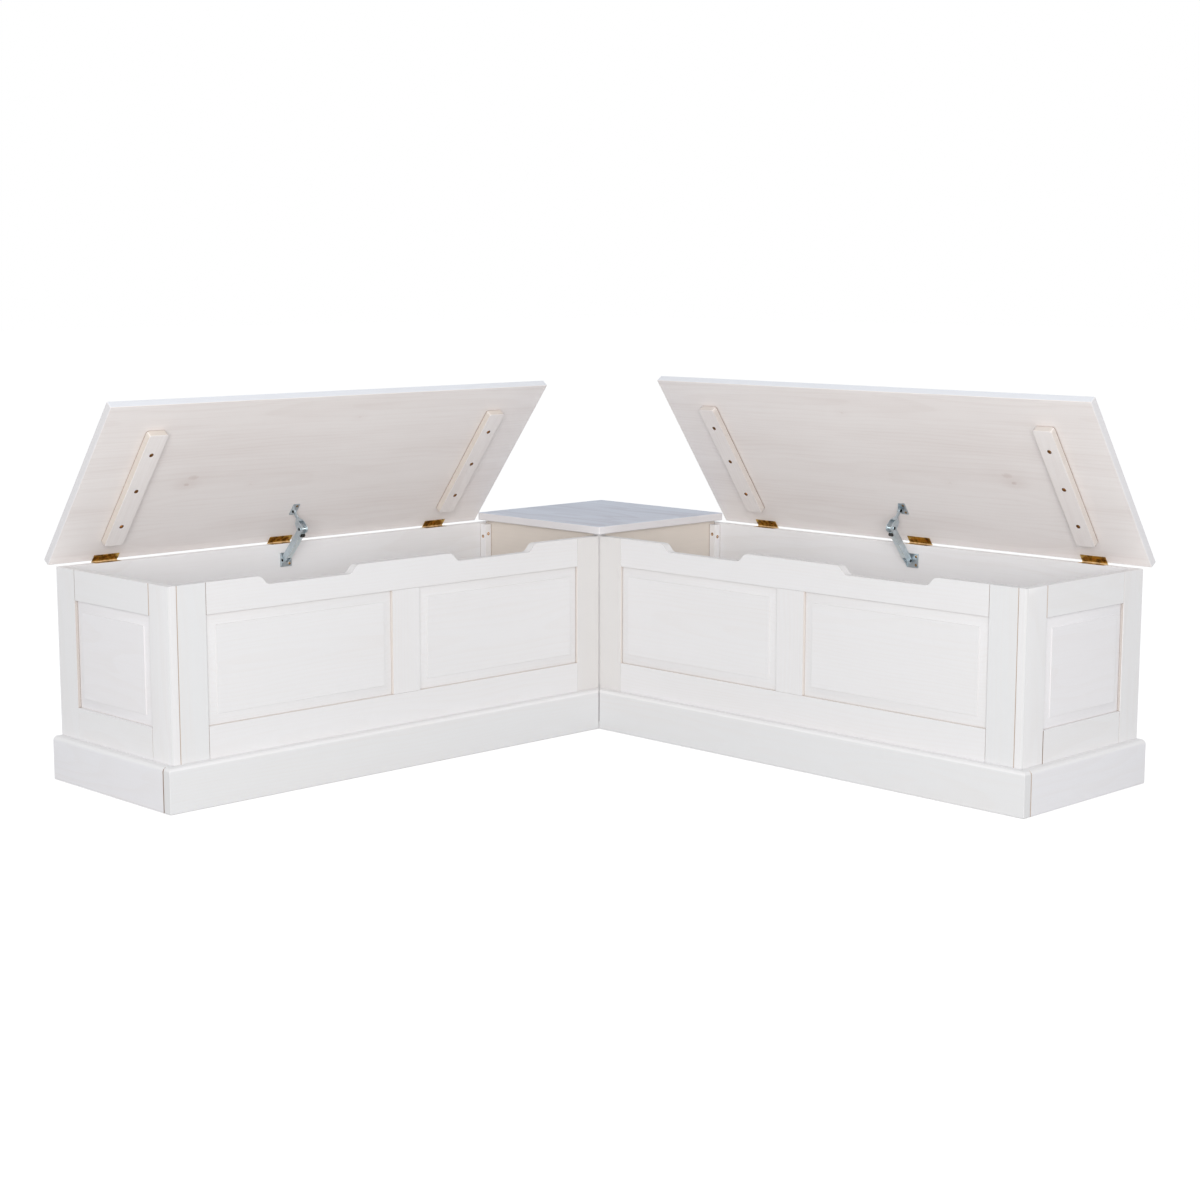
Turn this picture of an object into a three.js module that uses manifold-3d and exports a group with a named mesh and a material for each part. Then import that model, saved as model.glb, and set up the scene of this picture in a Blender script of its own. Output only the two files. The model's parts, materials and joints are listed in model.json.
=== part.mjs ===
// Corner storage bench: two lidded chest wings that meet at a square corner with a fixed top.
// Millimetres, +Z up. The bench stands on z = 0 with the middle of its outline over the origin.
//
// Every wing is built in its own frame: x runs along the wing from the inner corner of the two
// fronts, depth runs from the front face towards the wall, z is up from the floor. The right wing
// runs along +X with the wall at +Y. The left wing is its mirror image, turned to run along -Y.
import * as THREE from 'three';
import * as BufferGeometryUtils from 'three/addons/utils/BufferGeometryUtils.js';
import Module from 'manifold-3d';

const wasm = await Module();
wasm.setup();

// Whole chest
const carcassHeight = 438;
const chestDepth = 403;
const wingLength = 1151;

// Boards of the carcass
const frameThickness = 19;
const stileWidth = 67;
const muntinWidth = 72.5;
const topRailHeight = 63;
const bottomRailHeight = 67;
const bottomRailBase = 88;
const stileFoot = 10;
const backThickness = 18;
const floorThickness = 12;
const floorBase = 92;
const partitionRise = 5;
const cleatSide = 18;
const cleatDrop = 3;
const cornerGap = 1.2;
const postChamfer = 5;

// Joinery
const fitGap = 0.3;
const grooveWidth = 6;
const grooveDepth = 9;
const grooveSetback = 7;
const grooveStop = 12;
const tongueDepth = 8;
const panelMargin = 22;
const panelFieldSetback = 1.25;
const panelStep = 1.35;
const panelLap = 3;

// Hand holds in the top rails
const scoopPitch = 496;
const scoopMouth = 255;
const scoopFlat = 193;
const scoopDepth = 18;

// Plinth
const plinthHeight = 90;
const plinthThickness = 21.2;
const plinthRounding = 9.5;
const plinthButtGap = 1.5;
const plinthMitreGap = 0.8;

// Lids and the fixed corner top
const lidThickness = 18;
const lidFrontOverhang = 15;
const lidEndOverhang = 18;
const lidCornerGap = 3.5;
const cornerTopInset = 6;
const battenWidth = 45;
const battenThickness = 15;
const battenLength = 299;
const battenEndInset = 127.5;
const battenBackInset = 52.7;
const battenRounding = 6;

// Lid angles from shut, in degrees
const leftLidAngle = 52.4;
const rightLidAngle = 54.9;

// Hinges
const hingeLength = 60;
const hingeEndInset = 132.5;
const leafThickness = 1;
const leafReach = 16;
const knuckleRadius = 2.5;
const hingePinRadius = 1.2;
const knucklesPerHinge = 5;
const leafHoleRadius = 2;
const leafSinkRadius = 3.2;
const leafHolePitch = 20;

// Lid stays
const staySheet = 1.5;
const stayStandoff = 8;
const stayWallDrop = 35.4;
const stayLidReach = 95.7;
const rightStayShift = 12;
const leftStayShift = -4;
const channelWidth = 12;
const channelWebSide = 8;
const channelOpenSide = 7;
const channelWebStart = 15;
const channelWebStop = 6.5;
const strapThickness = 3;
const strapNeck = 6.5;
const forkDepth = 17.5;
const forkShoulder = 20;
const forkTaperEnd = 30;
const elbowRadius = 9;
const eyeRadius = 5.5;
const stayPinRadius = 2.5;
const rivetHeadRadius = 4;
const rivetHeadThickness = 1.2;
const wallPlateHeight = 31;
const wallPlateWidth = 30;
const lidPlateLength = 30;
const lidPlateWidth = 17;
const plateHoleRadius = 1.8;
const plateHolePitch = 19;
const plateHoleInset = 6;
const stopRadius = 4.5;
const stopWidth = 9;

// One length by which every cutting tool runs past the piece it cuts
const overrun = 5;

// Facets of the round features
const pinFacets = 24;
const holeFacets = 16;
const arcFacets = 8;

// Places that several pieces share, worked out from the sizes above
const frontStart = cornerGap;
const chestEnd = wingLength - frameThickness - fitGap;
const innerStileEdge = frontStart + stileWidth;
const outerStileEdge = chestEnd - stileWidth;
const panelBase = bottomRailBase + bottomRailHeight;
const panelTop = carcassHeight - topRailHeight;
const railLength = outerStileEdge - innerStileEdge - 2 * fitGap;
const muntinStart = (innerStileEdge + outerStileEdge - muntinWidth) / 2;
const muntinEnd = muntinStart + muntinWidth;
const backFace = chestDepth - backThickness;
const chestStart = fitGap;
const tongueThickness = grooveWidth - 2 * fitGap;
const tongueSetback = grooveSetback + fitGap;
const hingeRise = fitGap / 2;
const hingeSetback = knuckleRadius + fitGap;
const lidStart = lidFrontOverhang + lidCornerGap;
const lidEnd = wingLength + lidEndOverhang;
const lidMiddle = (lidStart + lidEnd) / 2;
const lidDepth = chestDepth + lidFrontOverhang;
const lidUnderside = hingeRise + leafThickness + fitGap;
const wallPivot = {
  forward: hingeSetback + backThickness + stayStandoff,
  up: -hingeRise - stayWallDrop,
};
const lidPivot = {
  forward: hingeSetback + stayLidReach,
  up: lidUnderside - stayStandoff,
};
const lowerArmLength = Math.hypot(lidPivot.forward, lidPivot.up);
const lowerArmTilt = Math.atan2(lidPivot.up, lidPivot.forward);

const WING = {
  right: {
    name: 'right',
    depthSign: 1,
    turn: 0,
    lidAngle: rightLidAngle,
    stayAlong: lidMiddle - rightStayShift,
    backReach: chestDepth,
  },
  left: {
    name: 'left',
    depthSign: -1,
    turn: -90,
    lidAngle: leftLidAngle,
    stayAlong: lidMiddle - leftStayShift,
    backReach: backFace - fitGap,
  },
};

const FINISH = {
  pine: { color: 0xe9e5e1, roughness: 0.6, metalness: 0 },
  lidPine: { color: 0xdad5d1, roughness: 0.5, metalness: 0 },
  brass: { color: 0xb07a2c, roughness: 0.35, metalness: 1 },
  zinc: { color: 0xaab4b6, roughness: 0.4, metalness: 0.9 },
  black: { color: 0x151413, roughness: 0.7, metalness: 0 },
};

/** Turns a closed three.js geometry into a solid that can be cut and joined. */
function solidFrom(geometry) {
  geometry.deleteAttribute('normal');
  geometry.deleteAttribute('uv');
  const merged = BufferGeometryUtils.mergeVertices(geometry);
  const vertProperties = new Float32Array(merged.attributes.position.array);
  const triVerts = new Uint32Array(merged.index.array);
  return new wasm.Manifold(new wasm.Mesh({ numProp: 3, vertProperties, triVerts }));
}

/** Turns a solid back into a geometry, mirrored on x or y where a sign is negative. */
function geometryFrom(solid, signX, signY) {
  const mesh = solid.getMesh();
  const positions = new Float32Array(mesh.vertProperties);
  const triangles = new Uint32Array(mesh.triVerts);
  for (let i = 0; i < positions.length; i += 3) {
    positions[i] *= signX;
    positions[i + 1] *= signY;
  }
  if (signX * signY < 0) {
    for (let i = 0; i < triangles.length; i += 3) {
      [triangles[i], triangles[i + 1]] = [triangles[i + 1], triangles[i]];
    }
  }
  const geometry = new THREE.BufferGeometry();
  geometry.setAttribute('position', new THREE.BufferAttribute(positions, 3));
  geometry.setIndex(new THREE.BufferAttribute(triangles, 1));
  geometry.computeVertexNormals();
  return geometry;
}

function joined(...solids) {
  return solids.reduce((whole, solid) => whole.add(solid));
}

function cut(body, ...tools) {
  return tools.reduce((whole, tool) => whole.subtract(tool), body);
}

/** A rectangular block between two opposite corners, each [x, y, z]. */
function block(low, high) {
  const size = new THREE.Vector3(...high.map((value, axis) => value - low[axis]));
  const unit = new THREE.BoxGeometry().translate(1 / 2, 1 / 2, 1 / 2);
  unit.applyMatrix4(new THREE.Matrix4().makeTranslation(...low).scale(size));
  return solidFrom(unit);
}

/** A rod along x between two places, centred on y and z of zero. */
function rodAlongX(radius, from, to, facets) {
  const geometry = new THREE.CylinderGeometry(radius, radius, to - from, facets);
  geometry.rotateZ(Math.PI / 2);
  geometry.translate((from + to) / 2, 0, 0);
  return solidFrom(geometry);
}

/** A rod along z between two heights, centred on x and y of zero. */
function rodAlongZ(radius, from, to, facets) {
  return coneAlongZ(radius, radius, from, to, facets);
}

/** A cone along z between two heights, with its radius at each. */
function coneAlongZ(lowRadius, highRadius, from, to, facets) {
  const geometry = new THREE.CylinderGeometry(highRadius, lowRadius, to - from, facets);
  geometry.rotateX(Math.PI / 2);
  geometry.translate(0, 0, (from + to) / 2);
  return solidFrom(geometry);
}

/** An outline drawn in (y, z), pushed along x between two places. */
function outlineAlongX(shape, from, to, curveSegments) {
  const options = { depth: to - from, bevelEnabled: false, curveSegments };
  const geometry = new THREE.ExtrudeGeometry(shape, options);
  const yAxis = new THREE.Vector3(0, 1, 0);
  const zAxis = new THREE.Vector3(0, 0, 1);
  const xAxis = new THREE.Vector3(1, 0, 0);
  geometry.applyMatrix4(new THREE.Matrix4().makeBasis(yAxis, zAxis, xAxis));
  geometry.translate(from, 0, 0);
  return solidFrom(geometry);
}

/** An outline drawn in (x, z), pushed along y between two places. */
function outlineAlongY(shape, from, to, curveSegments) {
  const options = { depth: to - from, bevelEnabled: false, curveSegments };
  const geometry = new THREE.ExtrudeGeometry(shape, options);
  geometry.rotateX(Math.PI / 2);
  geometry.translate(0, to, 0);
  return solidFrom(geometry);
}

/** An outline drawn in (x, y), pushed along z between two heights. */
function outlineAlongZ(shape, from, to, curveSegments) {
  const options = { depth: to - from, bevelEnabled: false, curveSegments };
  const geometry = new THREE.ExtrudeGeometry(shape, options);
  geometry.translate(0, 0, from);
  return solidFrom(geometry);
}

/** Puts one named piece of a wing into a group at (along, depth, height). */
function addPiece(group, wing, name, solid, finish, place, signX = 1) {
  const material = new THREE.MeshStandardMaterial(finish);
  const mesh = new THREE.Mesh(geometryFrom(solid, signX, wing.depthSign), material);
  mesh.name = `${wing.name}_${name}`;
  const [along, depth, height] = place;
  mesh.position.set(along, wing.depthSign * depth, height);
  group.add(mesh);
  return mesh;
}

/** A front stile standing on its foot, with a groove in the edge that faces the panels. */
function frontStile(grooveAtHighEdge) {
  const height = carcassHeight - stileFoot;
  const body = block([0, 0, 0], [stileWidth, frameThickness, height]);
  const grooveLow = grooveAtHighEdge ? stileWidth - grooveDepth : -overrun;
  const grooveHigh = grooveAtHighEdge ? stileWidth + overrun : grooveDepth;
  const grooveBack = grooveSetback + grooveWidth;
  const groove = block(
    [grooveLow, grooveSetback, -overrun],
    [grooveHigh, grooveBack, height - grooveStop],
  );
  return cut(body, groove);
}

/** The tenons at both ends of a front rail, between two heights of that rail. */
function railTenons(low, high) {
  const back = tongueSetback + tongueThickness;
  return block([-tongueDepth, tongueSetback, low], [railLength + tongueDepth, back, high]);
}

/** The groove that a rail has for the panels, between two heights of that rail. */
function railGroove(low, high) {
  const back = grooveSetback + grooveWidth;
  return block([-overrun, grooveSetback, low], [railLength + overrun, back, high]);
}

/** One hand hold: a shallow flat-bottomed dip with S-shaped ends, about x = 0 at z = 0. */
function scoopOutline() {
  const mouthHalf = scoopMouth / 2;
  const flatHalf = scoopFlat / 2;
  const bend = (mouthHalf + flatHalf) / 2;
  const shape = new THREE.Shape();
  shape.moveTo(-mouthHalf, 0);
  shape.bezierCurveTo(-bend, 0, -bend, -scoopDepth, -flatHalf, -scoopDepth);
  shape.lineTo(flatHalf, -scoopDepth);
  shape.bezierCurveTo(bend, -scoopDepth, bend, 0, mouthHalf, 0);
  shape.lineTo(mouthHalf, overrun);
  shape.lineTo(-mouthHalf, overrun);
  return shape;
}

/** The top rail of a front, with two hand holds, stub tenons and the panel groove below. */
function topRail() {
  const body = block([0, 0, 0], [railLength, frameThickness, topRailHeight]);
  const scoops = [-1, 1].map((side) => {
    const dip = outlineAlongY(scoopOutline(), -overrun, frameThickness + overrun, 2 * arcFacets);
    return dip.translate([(railLength + side * scoopPitch) / 2, 0, topRailHeight]);
  });
  const tenons = railTenons(grooveDepth + fitGap, topRailHeight - grooveStop - fitGap);
  return cut(joined(cut(body, railGroove(-overrun, grooveDepth)), tenons), ...scoops);
}

/** The bottom rail of a front, with stub tenons and the panel groove above. */
function bottomRail() {
  const body = block([0, 0, 0], [railLength, frameThickness, bottomRailHeight]);
  const groove = railGroove(bottomRailHeight - grooveDepth, bottomRailHeight + overrun);
  return joined(cut(body, groove), railTenons(fitGap, bottomRailHeight - grooveDepth - fitGap));
}

/** The muntin between the two panels, with a groove in each edge and stub tenons at both ends. */
function muntin() {
  const height = panelTop - panelBase - 2 * fitGap;
  const body = block([0, 0, 0], [muntinWidth, frameThickness, height]);
  const grooveBack = grooveSetback + grooveWidth;
  const lowGroove = block([-overrun, grooveSetback, -overrun], [grooveDepth, grooveBack, height + overrun]);
  const highGroove = block(
    [muntinWidth - grooveDepth, grooveSetback, -overrun],
    [muntinWidth + overrun, grooveBack, height + overrun],
  );
  const cheek = grooveDepth + fitGap;
  const tenons = block(
    [cheek, tongueSetback, -tongueDepth],
    [muntinWidth - cheek, tongueSetback + tongueThickness, height + tongueDepth],
  );
  return joined(cut(body, lowGroove, highGroove), tenons);
}

/** A rectangle outline in (x, y), with its corners rounded where a radius is given. */
function rectangleOutline(low, high, radius) {
  const [x0, y0] = low;
  const [x1, y1] = high;
  const quarter = Math.PI / 2;
  const shape = new THREE.Shape();
  shape.moveTo(x0 + radius, y0);
  shape.lineTo(x1 - radius, y0);
  if (radius > 0) shape.absarc(x1 - radius, y0 + radius, radius, -quarter, 0, false);
  shape.lineTo(x1, y1 - radius);
  if (radius > 0) shape.absarc(x1 - radius, y1 - radius, radius, 0, quarter, false);
  shape.lineTo(x0 + radius, y1);
  if (radius > 0) shape.absarc(x0 + radius, y1 - radius, radius, quarter, 2 * quarter, false);
  shape.lineTo(x0, y0 + radius);
  if (radius > 0) shape.absarc(x0 + radius, y0 + radius, radius, 2 * quarter, 3 * quarter, false);
  return shape;
}

/**
 * A raised panel for an opening of the given width and height. Its front faces -y. A sloped
 * margin rises from the tongue to a crisp step round the flat field.
 */
function raisedPanel(openingWidth, openingHeight) {
  const tongueBack = tongueSetback + tongueThickness;
  const tongueCore = tongueSetback + tongueThickness / 2;
  const marginFoot = tongueDepth + panelMargin;
  const width = openingWidth + 2 * tongueDepth;
  const height = openingHeight + 2 * tongueDepth;
  const steepness = (tongueSetback - panelFieldSetback - panelStep) / panelMargin;
  const slopeFoot = marginFoot + panelLap;
  const slopeShape = rectangleOutline([slopeFoot, slopeFoot], [width - slopeFoot, height - slopeFoot], 0);
  const slope = new THREE.ExtrudeGeometry(slopeShape, {
    depth: tongueThickness,
    bevelEnabled: true,
    bevelSize: panelMargin + 2 * panelLap,
    bevelThickness: (panelMargin + 2 * panelLap) * steepness,
    bevelSegments: 1,
  });
  slope.rotateX(Math.PI / 2);
  slope.translate(0, tongueBack + panelLap * steepness, 0);
  const behind = block([0, tongueCore, 0], [width, tongueCore + frameThickness, height]);
  const tongue = block([0, tongueSetback, 0], [width, tongueBack, height]);
  const field = block(
    [marginFoot, panelFieldSetback, marginFoot],
    [width - marginFoot, tongueSetback, height - marginFoot],
  );
  return joined(cut(solidFrom(slope), behind), tongue, field);
}

/** The glued end frame: two stiles and two rails round one grooved panel opening. */
function endFrame() {
  const height = carcassHeight - stileFoot;
  const outer = block([0, 0, 0], [frameThickness, chestDepth, height]);
  const low = [stileWidth, panelBase - stileFoot];
  const high = [chestDepth - stileWidth, panelTop - stileFoot];
  const opening = block([-overrun, ...low], [frameThickness + overrun, ...high]);
  const grooveOuter = frameThickness - grooveSetback;
  const groove = block(
    [grooveOuter - grooveWidth, ...low.map((value) => value - grooveDepth)],
    [grooveOuter, ...high.map((value) => value + grooveDepth)],
  );
  return cut(outer, opening, groove);
}

/** The corner post behind the two inner stiles, chamfered where the two fronts meet. */
function cornerPost() {
  const height = carcassHeight + partitionRise - stileFoot;
  const shape = new THREE.Shape();
  shape.moveTo(-frameThickness, 0);
  shape.lineTo(-postChamfer, 0);
  shape.lineTo(0, postChamfer);
  shape.lineTo(0, frameThickness);
  shape.lineTo(-frameThickness, frameThickness);
  return outlineAlongZ(shape, 0, height, 1);
}

/** The (y, z) or (x, z) outline of a plinth board, its top rounded at the negative end. */
function plinthOutline(length) {
  const shape = new THREE.Shape();
  shape.moveTo(0, 0);
  shape.lineTo(0, plinthHeight);
  shape.lineTo(plinthRounding - length, plinthHeight);
  const centreZ = plinthHeight - plinthRounding;
  shape.absarc(plinthRounding - length, centreZ, plinthRounding, Math.PI / 2, Math.PI, false);
  shape.lineTo(-length, 0);
  return shape;
}

/** The front plinth, mitred at the inner corner and rounded over its front edge and free end. */
function frontPlinth() {
  const length = wingLength + fitGap + plinthThickness;
  const moulded = outlineAlongX(plinthOutline(plinthThickness), 0, length, arcFacets);
  const face = outlineAlongY(plinthOutline(length), -plinthThickness - overrun, overrun, arcFacets);
  const rounded = moulded.intersect(face.mirror([1, 0, 0]));
  const reach = fitGap + plinthMitreGap;
  const wedge = new THREE.Shape();
  wedge.moveTo(-overrun, overrun);
  wedge.lineTo(-overrun, -plinthThickness - overrun);
  wedge.lineTo(reach + plinthThickness + overrun, -plinthThickness - overrun);
  wedge.lineTo(reach - overrun, overrun);
  return cut(rounded, outlineAlongZ(wedge, -overrun, plinthHeight + overrun, 1));
}

/** The end plinth, butted behind the front plinth and rounded over its outer edge. */
function endPlinth() {
  const length = chestDepth + fitGap - plinthButtGap;
  const profile = plinthOutline(plinthThickness);
  return outlineAlongY(profile, 0, length, arcFacets).mirror([1, 0, 0]);
}

/** A lid batten with rounded ends, lying along y under the lid. */
function batten() {
  const shape = rectangleOutline(
    [-battenWidth / 2, -battenLength],
    [battenWidth / 2, 0],
    battenRounding,
  );
  return outlineAlongZ(shape, -battenThickness, 0, arcFacets);
}

/** The x range of one knuckle cell of a hinge, counted from the hinge's middle. */
function knuckleCell(index) {
  const pitch = hingeLength / knucklesPerHinge;
  const start = index * pitch - hingeLength / 2;
  return [start, start + pitch];
}

/** The cutter for a leaf's screw hole, widest on the face that lies nearest the hinge axis. */
function countersunkHole(side) {
  const slope = (leafSinkRadius - leafHoleRadius) / leafThickness;
  const wideRadius = leafSinkRadius + overrun * slope;
  const cone = coneAlongZ(leafHoleRadius, wideRadius, -leafThickness, overrun, holeFacets);
  const shank = rodAlongZ(leafHoleRadius, -leafThickness - overrun, overrun, holeFacets);
  const hole = joined(cone, shank).translate([0, 0, -fitGap / 2]);
  return side < 0 ? hole : hole.mirror([0, 0, 1]);
}

/**
 * One hinge leaf with its knuckles, about the hinge axis, forward along -y. The fixed leaf
 * lies below the axis and carries the pin; the lid leaf lies above it and is bored for the pin.
 */
function hingeLeaf(isFixed) {
  const side = isFixed ? -1 : 1;
  const near = side * fitGap / 2;
  const far = side * (fitGap / 2 + leafThickness);
  const low = Math.min(near, far);
  const high = Math.max(near, far);
  const plate = block([-hingeLength / 2, -hingeSetback - leafReach, low], [hingeLength / 2, 0, high]);
  const cells = [...Array(knucklesPerHinge).keys()];
  const ownCells = cells.filter((index) => (index % 2 === 0) === isFixed);
  const otherCells = cells.filter((index) => (index % 2 === 0) !== isFixed);
  const slots = otherCells.map((index) => {
    const [from, to] = knuckleCell(index);
    return block([from, -hingeSetback, -overrun], [to, overrun, overrun]);
  });
  const knuckles = ownCells.map((index) => {
    const [from, to] = knuckleCell(index);
    return rodAlongX(knuckleRadius, from + fitGap, to - fitGap, pinFacets);
  });
  const holeY = -hingeSetback - leafReach / 2;
  const holes = [-1, 0, 1].map((step) => {
    return countersunkHole(side).translate([step * leafHolePitch, holeY, 0]);
  });
  const leaf = cut(joined(plate, ...knuckles), ...slots, ...holes);
  const halfPin = hingeLength / 2 - fitGap;
  if (isFixed) return joined(leaf, rodAlongX(hingePinRadius, -halfPin, halfPin, pinFacets));
  const boreEnd = hingeLength / 2 + overrun;
  return cut(leaf, rodAlongX(hingePinRadius + fitGap, -boreEnd, boreEnd, pinFacets));
}

/** The pivot bore through a stay part, along x at the given y. */
function pivotBore(y) {
  const reach = channelWidth + overrun;
  return rodAlongX(stayPinRadius + fitGap, -reach, reach, pinFacets).translate([0, y, 0]);
}

/** A rivet along x whose shank ends in a head of the stay's usual size. */
function rivet(from, to, headAtLow, headAtHigh) {
  const parts = [rodAlongX(stayPinRadius, from, to, pinFacets)];
  if (headAtLow) parts.push(rodAlongX(rivetHeadRadius, from - rivetHeadThickness, from, pinFacets));
  if (headAtHigh) parts.push(rodAlongX(rivetHeadRadius, to, to + rivetHeadThickness, pinFacets));
  return joined(...parts);
}

/**
 * A bent sheet bracket with its pivot at the origin. Its plate lies on a surface that faces the
 * pivot from +y, its ear stands on the low side of x and carries a rivet towards +x.
 */
function stayBracket(plateLength, plateWidth, gripWidth) {
  const plateBack = stayStandoff - fitGap;
  const plateFront = plateBack - staySheet;
  const earHigh = -gripWidth / 2 - fitGap;
  const earLow = earHigh - staySheet;
  const plateHalf = plateLength / 2;
  const plate = block([earLow, plateFront, -plateHalf], [earLow + plateWidth, plateBack, plateHalf]);
  const ear = new THREE.Shape();
  ear.moveTo(plateBack, -plateHalf);
  ear.lineTo(plateBack, plateHalf);
  ear.lineTo(plateFront, plateHalf);
  ear.absarc(0, 0, eyeRadius, Math.PI / 2, 3 * Math.PI / 2, false);
  ear.lineTo(plateFront, -plateHalf);
  const holes = [-1, 1].map((step) => {
    const hole = rodAlongZ(plateHoleRadius, -overrun, overrun, holeFacets);
    const x = earLow + plateWidth - plateHoleInset;
    return hole.rotate([90, 0, 0]).translate([x, plateBack, step * plateHolePitch / 2]);
  });
  const pin = rivet(earHigh - staySheet / 2, gripWidth / 2 + fitGap, false, true);
  return joined(cut(plate, ...holes), outlineAlongX(ear, earLow, earHigh, arcFacets), pin);
}

/** The side outline of the channel arm: wall pivot at the origin, elbow along -y. */
function channelOutline() {
  const elbow = -lowerArmLength;
  const heel = channelOpenSide - channelWebSide;
  const quarter = Math.PI / 2;
  const shape = new THREE.Shape();
  shape.absarc(0, 0, eyeRadius, -quarter, quarter, false);
  shape.lineTo(-channelWebStart, channelOpenSide);
  shape.absarc(elbow, 0, channelOpenSide, quarter, 2 * quarter, false);
  shape.absarc(elbow, heel, channelOpenSide, 2 * quarter, 3 * quarter, false);
  shape.lineTo(-channelWebStart, -channelWebSide);
  return shape;
}

/** The lower arm: two flanks and a web on the side away from the lid, with the elbow rivet. */
function stayLowerArm() {
  const half = channelWidth / 2;
  const inner = half - staySheet;
  const whole = outlineAlongX(channelOutline(), -half, half, arcFacets);
  const elbowSide = -lowerArmLength + channelWebStop;
  const trough = block(
    [-inner, elbowSide - overrun, staySheet - channelWebSide],
    [inner, channelWebStart, channelOpenSide + overrun],
  );
  const elbowGap = block(
    [-inner, -lowerArmLength - 2 * elbowRadius, -2 * channelWebSide],
    [inner, elbowSide, 2 * channelWebSide],
  );
  const heelGap = block(
    [-inner, -channelWebStart, -2 * channelWebSide],
    [inner, 2 * eyeRadius, 2 * channelWebSide],
  );
  const forkHalf = half + 2 * fitGap + staySheet;
  const elbowRivet = rivet(-forkHalf, forkHalf, true, true).translate([0, -lowerArmLength, 0]);
  const arm = joined(cut(whole, trough, elbowGap, heelGap, pivotBore(0)), elbowRivet);
  return arm.rotate([-THREE.MathUtils.radToDeg(lowerArmTilt), 0, 0]);
}

/** The side outline of the upper arm: elbow at the origin, lid pin at +y. */
function upperArmOutline(length) {
  const neckHalf = strapNeck / 2;
  const eyeTurn = Math.PI - Math.asin(neckHalf / eyeRadius);
  const shape = new THREE.Shape();
  shape.absarc(0, 0, elbowRadius, Math.PI / 2, 3 * Math.PI / 2, false);
  shape.bezierCurveTo(forkShoulder, -elbowRadius, forkShoulder, -neckHalf, forkTaperEnd, -neckHalf);
  shape.absarc(length, 0, eyeRadius, -eyeTurn, eyeTurn, false);
  shape.lineTo(forkTaperEnd, neckHalf);
  shape.bezierCurveTo(forkShoulder, neckHalf, forkShoulder, elbowRadius, 0, elbowRadius);
  return shape;
}

/** The upper arm: a fork over the elbow that draws in to a strap with an eye for the lid pin. */
function stayUpperArm() {
  const length = Math.hypot(wallPivot.forward, wallPivot.up);
  const tilt = Math.atan2(-wallPivot.up, wallPivot.forward);
  const innerHalf = channelWidth / 2 + fitGap;
  const outerHalf = innerHalf + staySheet;
  const strapHalf = strapThickness / 2;
  const plan = new THREE.Shape();
  plan.moveTo(-outerHalf, -elbowRadius - overrun);
  plan.lineTo(outerHalf, -elbowRadius - overrun);
  plan.lineTo(outerHalf, forkShoulder);
  plan.lineTo(strapHalf, forkTaperEnd);
  plan.lineTo(strapHalf, length + eyeRadius + overrun);
  plan.lineTo(-strapHalf, length + eyeRadius + overrun);
  plan.lineTo(-strapHalf, forkTaperEnd);
  plan.lineTo(-outerHalf, forkShoulder);
  const side = outlineAlongX(upperArmOutline(length), -outerHalf, outerHalf, arcFacets);
  const drawnIn = side.intersect(outlineAlongZ(plan, -2 * elbowRadius, 2 * elbowRadius, 1));
  const fork = block(
    [-innerHalf, -2 * elbowRadius, -2 * elbowRadius],
    [innerHalf, forkDepth, 2 * elbowRadius],
  );
  const arm = cut(drawnIn, fork, pivotBore(0), pivotBore(length));
  return arm.rotate([THREE.MathUtils.radToDeg(tilt), 0, 0]);
}

/** The black stop that sits on the web of the lower arm beside the elbow. */
function stayStop() {
  const shape = new THREE.Shape();
  shape.moveTo(stopRadius, 0);
  shape.lineTo(-stopRadius, 0);
  shape.absarc(0, 0, stopRadius, Math.PI, 2 * Math.PI, false);
  const dome = outlineAlongX(shape, -stopWidth / 2, stopWidth / 2, arcFacets);
  const elbowSide = -lowerArmLength + channelWebStop + stopRadius;
  const seated = dome.translate([0, elbowSide, -channelWebSide - fitGap]);
  return seated.rotate([-THREE.MathUtils.radToDeg(lowerArmTilt), 0, 0]);
}

/** The panelled front of one wing. */
function addFront(group, wing) {
  const railStart = innerStileEdge + fitGap;
  const panelZ = panelBase - tongueDepth;
  const openingHeight = panelTop - panelBase;
  const innerOpening = muntinStart - innerStileEdge;
  const outerOpening = outerStileEdge - muntinEnd;
  addPiece(group, wing, 'front_inner_stile', frontStile(true), FINISH.pine, [frontStart, 0, stileFoot]);
  addPiece(group, wing, 'front_outer_stile', frontStile(false), FINISH.pine, [outerStileEdge, 0, stileFoot]);
  addPiece(group, wing, 'front_top_rail', topRail(), FINISH.pine, [railStart, 0, panelTop]);
  addPiece(group, wing, 'front_bottom_rail', bottomRail(), FINISH.pine, [railStart, 0, bottomRailBase]);
  addPiece(group, wing, 'front_muntin', muntin(), FINISH.pine, [muntinStart, 0, panelBase + fitGap]);
  addPiece(group, wing, 'front_inner_panel', raisedPanel(innerOpening, openingHeight), FINISH.pine, [
    innerStileEdge - tongueDepth,
    0,
    panelZ,
  ]);
  addPiece(group, wing, 'front_outer_panel', raisedPanel(outerOpening, openingHeight), FINISH.pine, [
    muntinEnd - tongueDepth,
    0,
    panelZ,
  ]);
}

/** The end frame of one wing and its raised panel, which faces outwards. */
function addEnd(group, wing) {
  const frameStart = wingLength - frameThickness;
  addPiece(group, wing, 'end_frame', endFrame(), FINISH.pine, [frameStart, 0, stileFoot]);
  const panel = raisedPanel(chestDepth - 2 * stileWidth, panelTop - panelBase);
  const place = [wingLength, stileWidth - tongueDepth, panelBase - tongueDepth];
  const mesh = addPiece(group, wing, 'end_panel', panel, FINISH.pine, place);
  mesh.rotation.z = wing.depthSign * Math.PI / 2;
}

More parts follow.
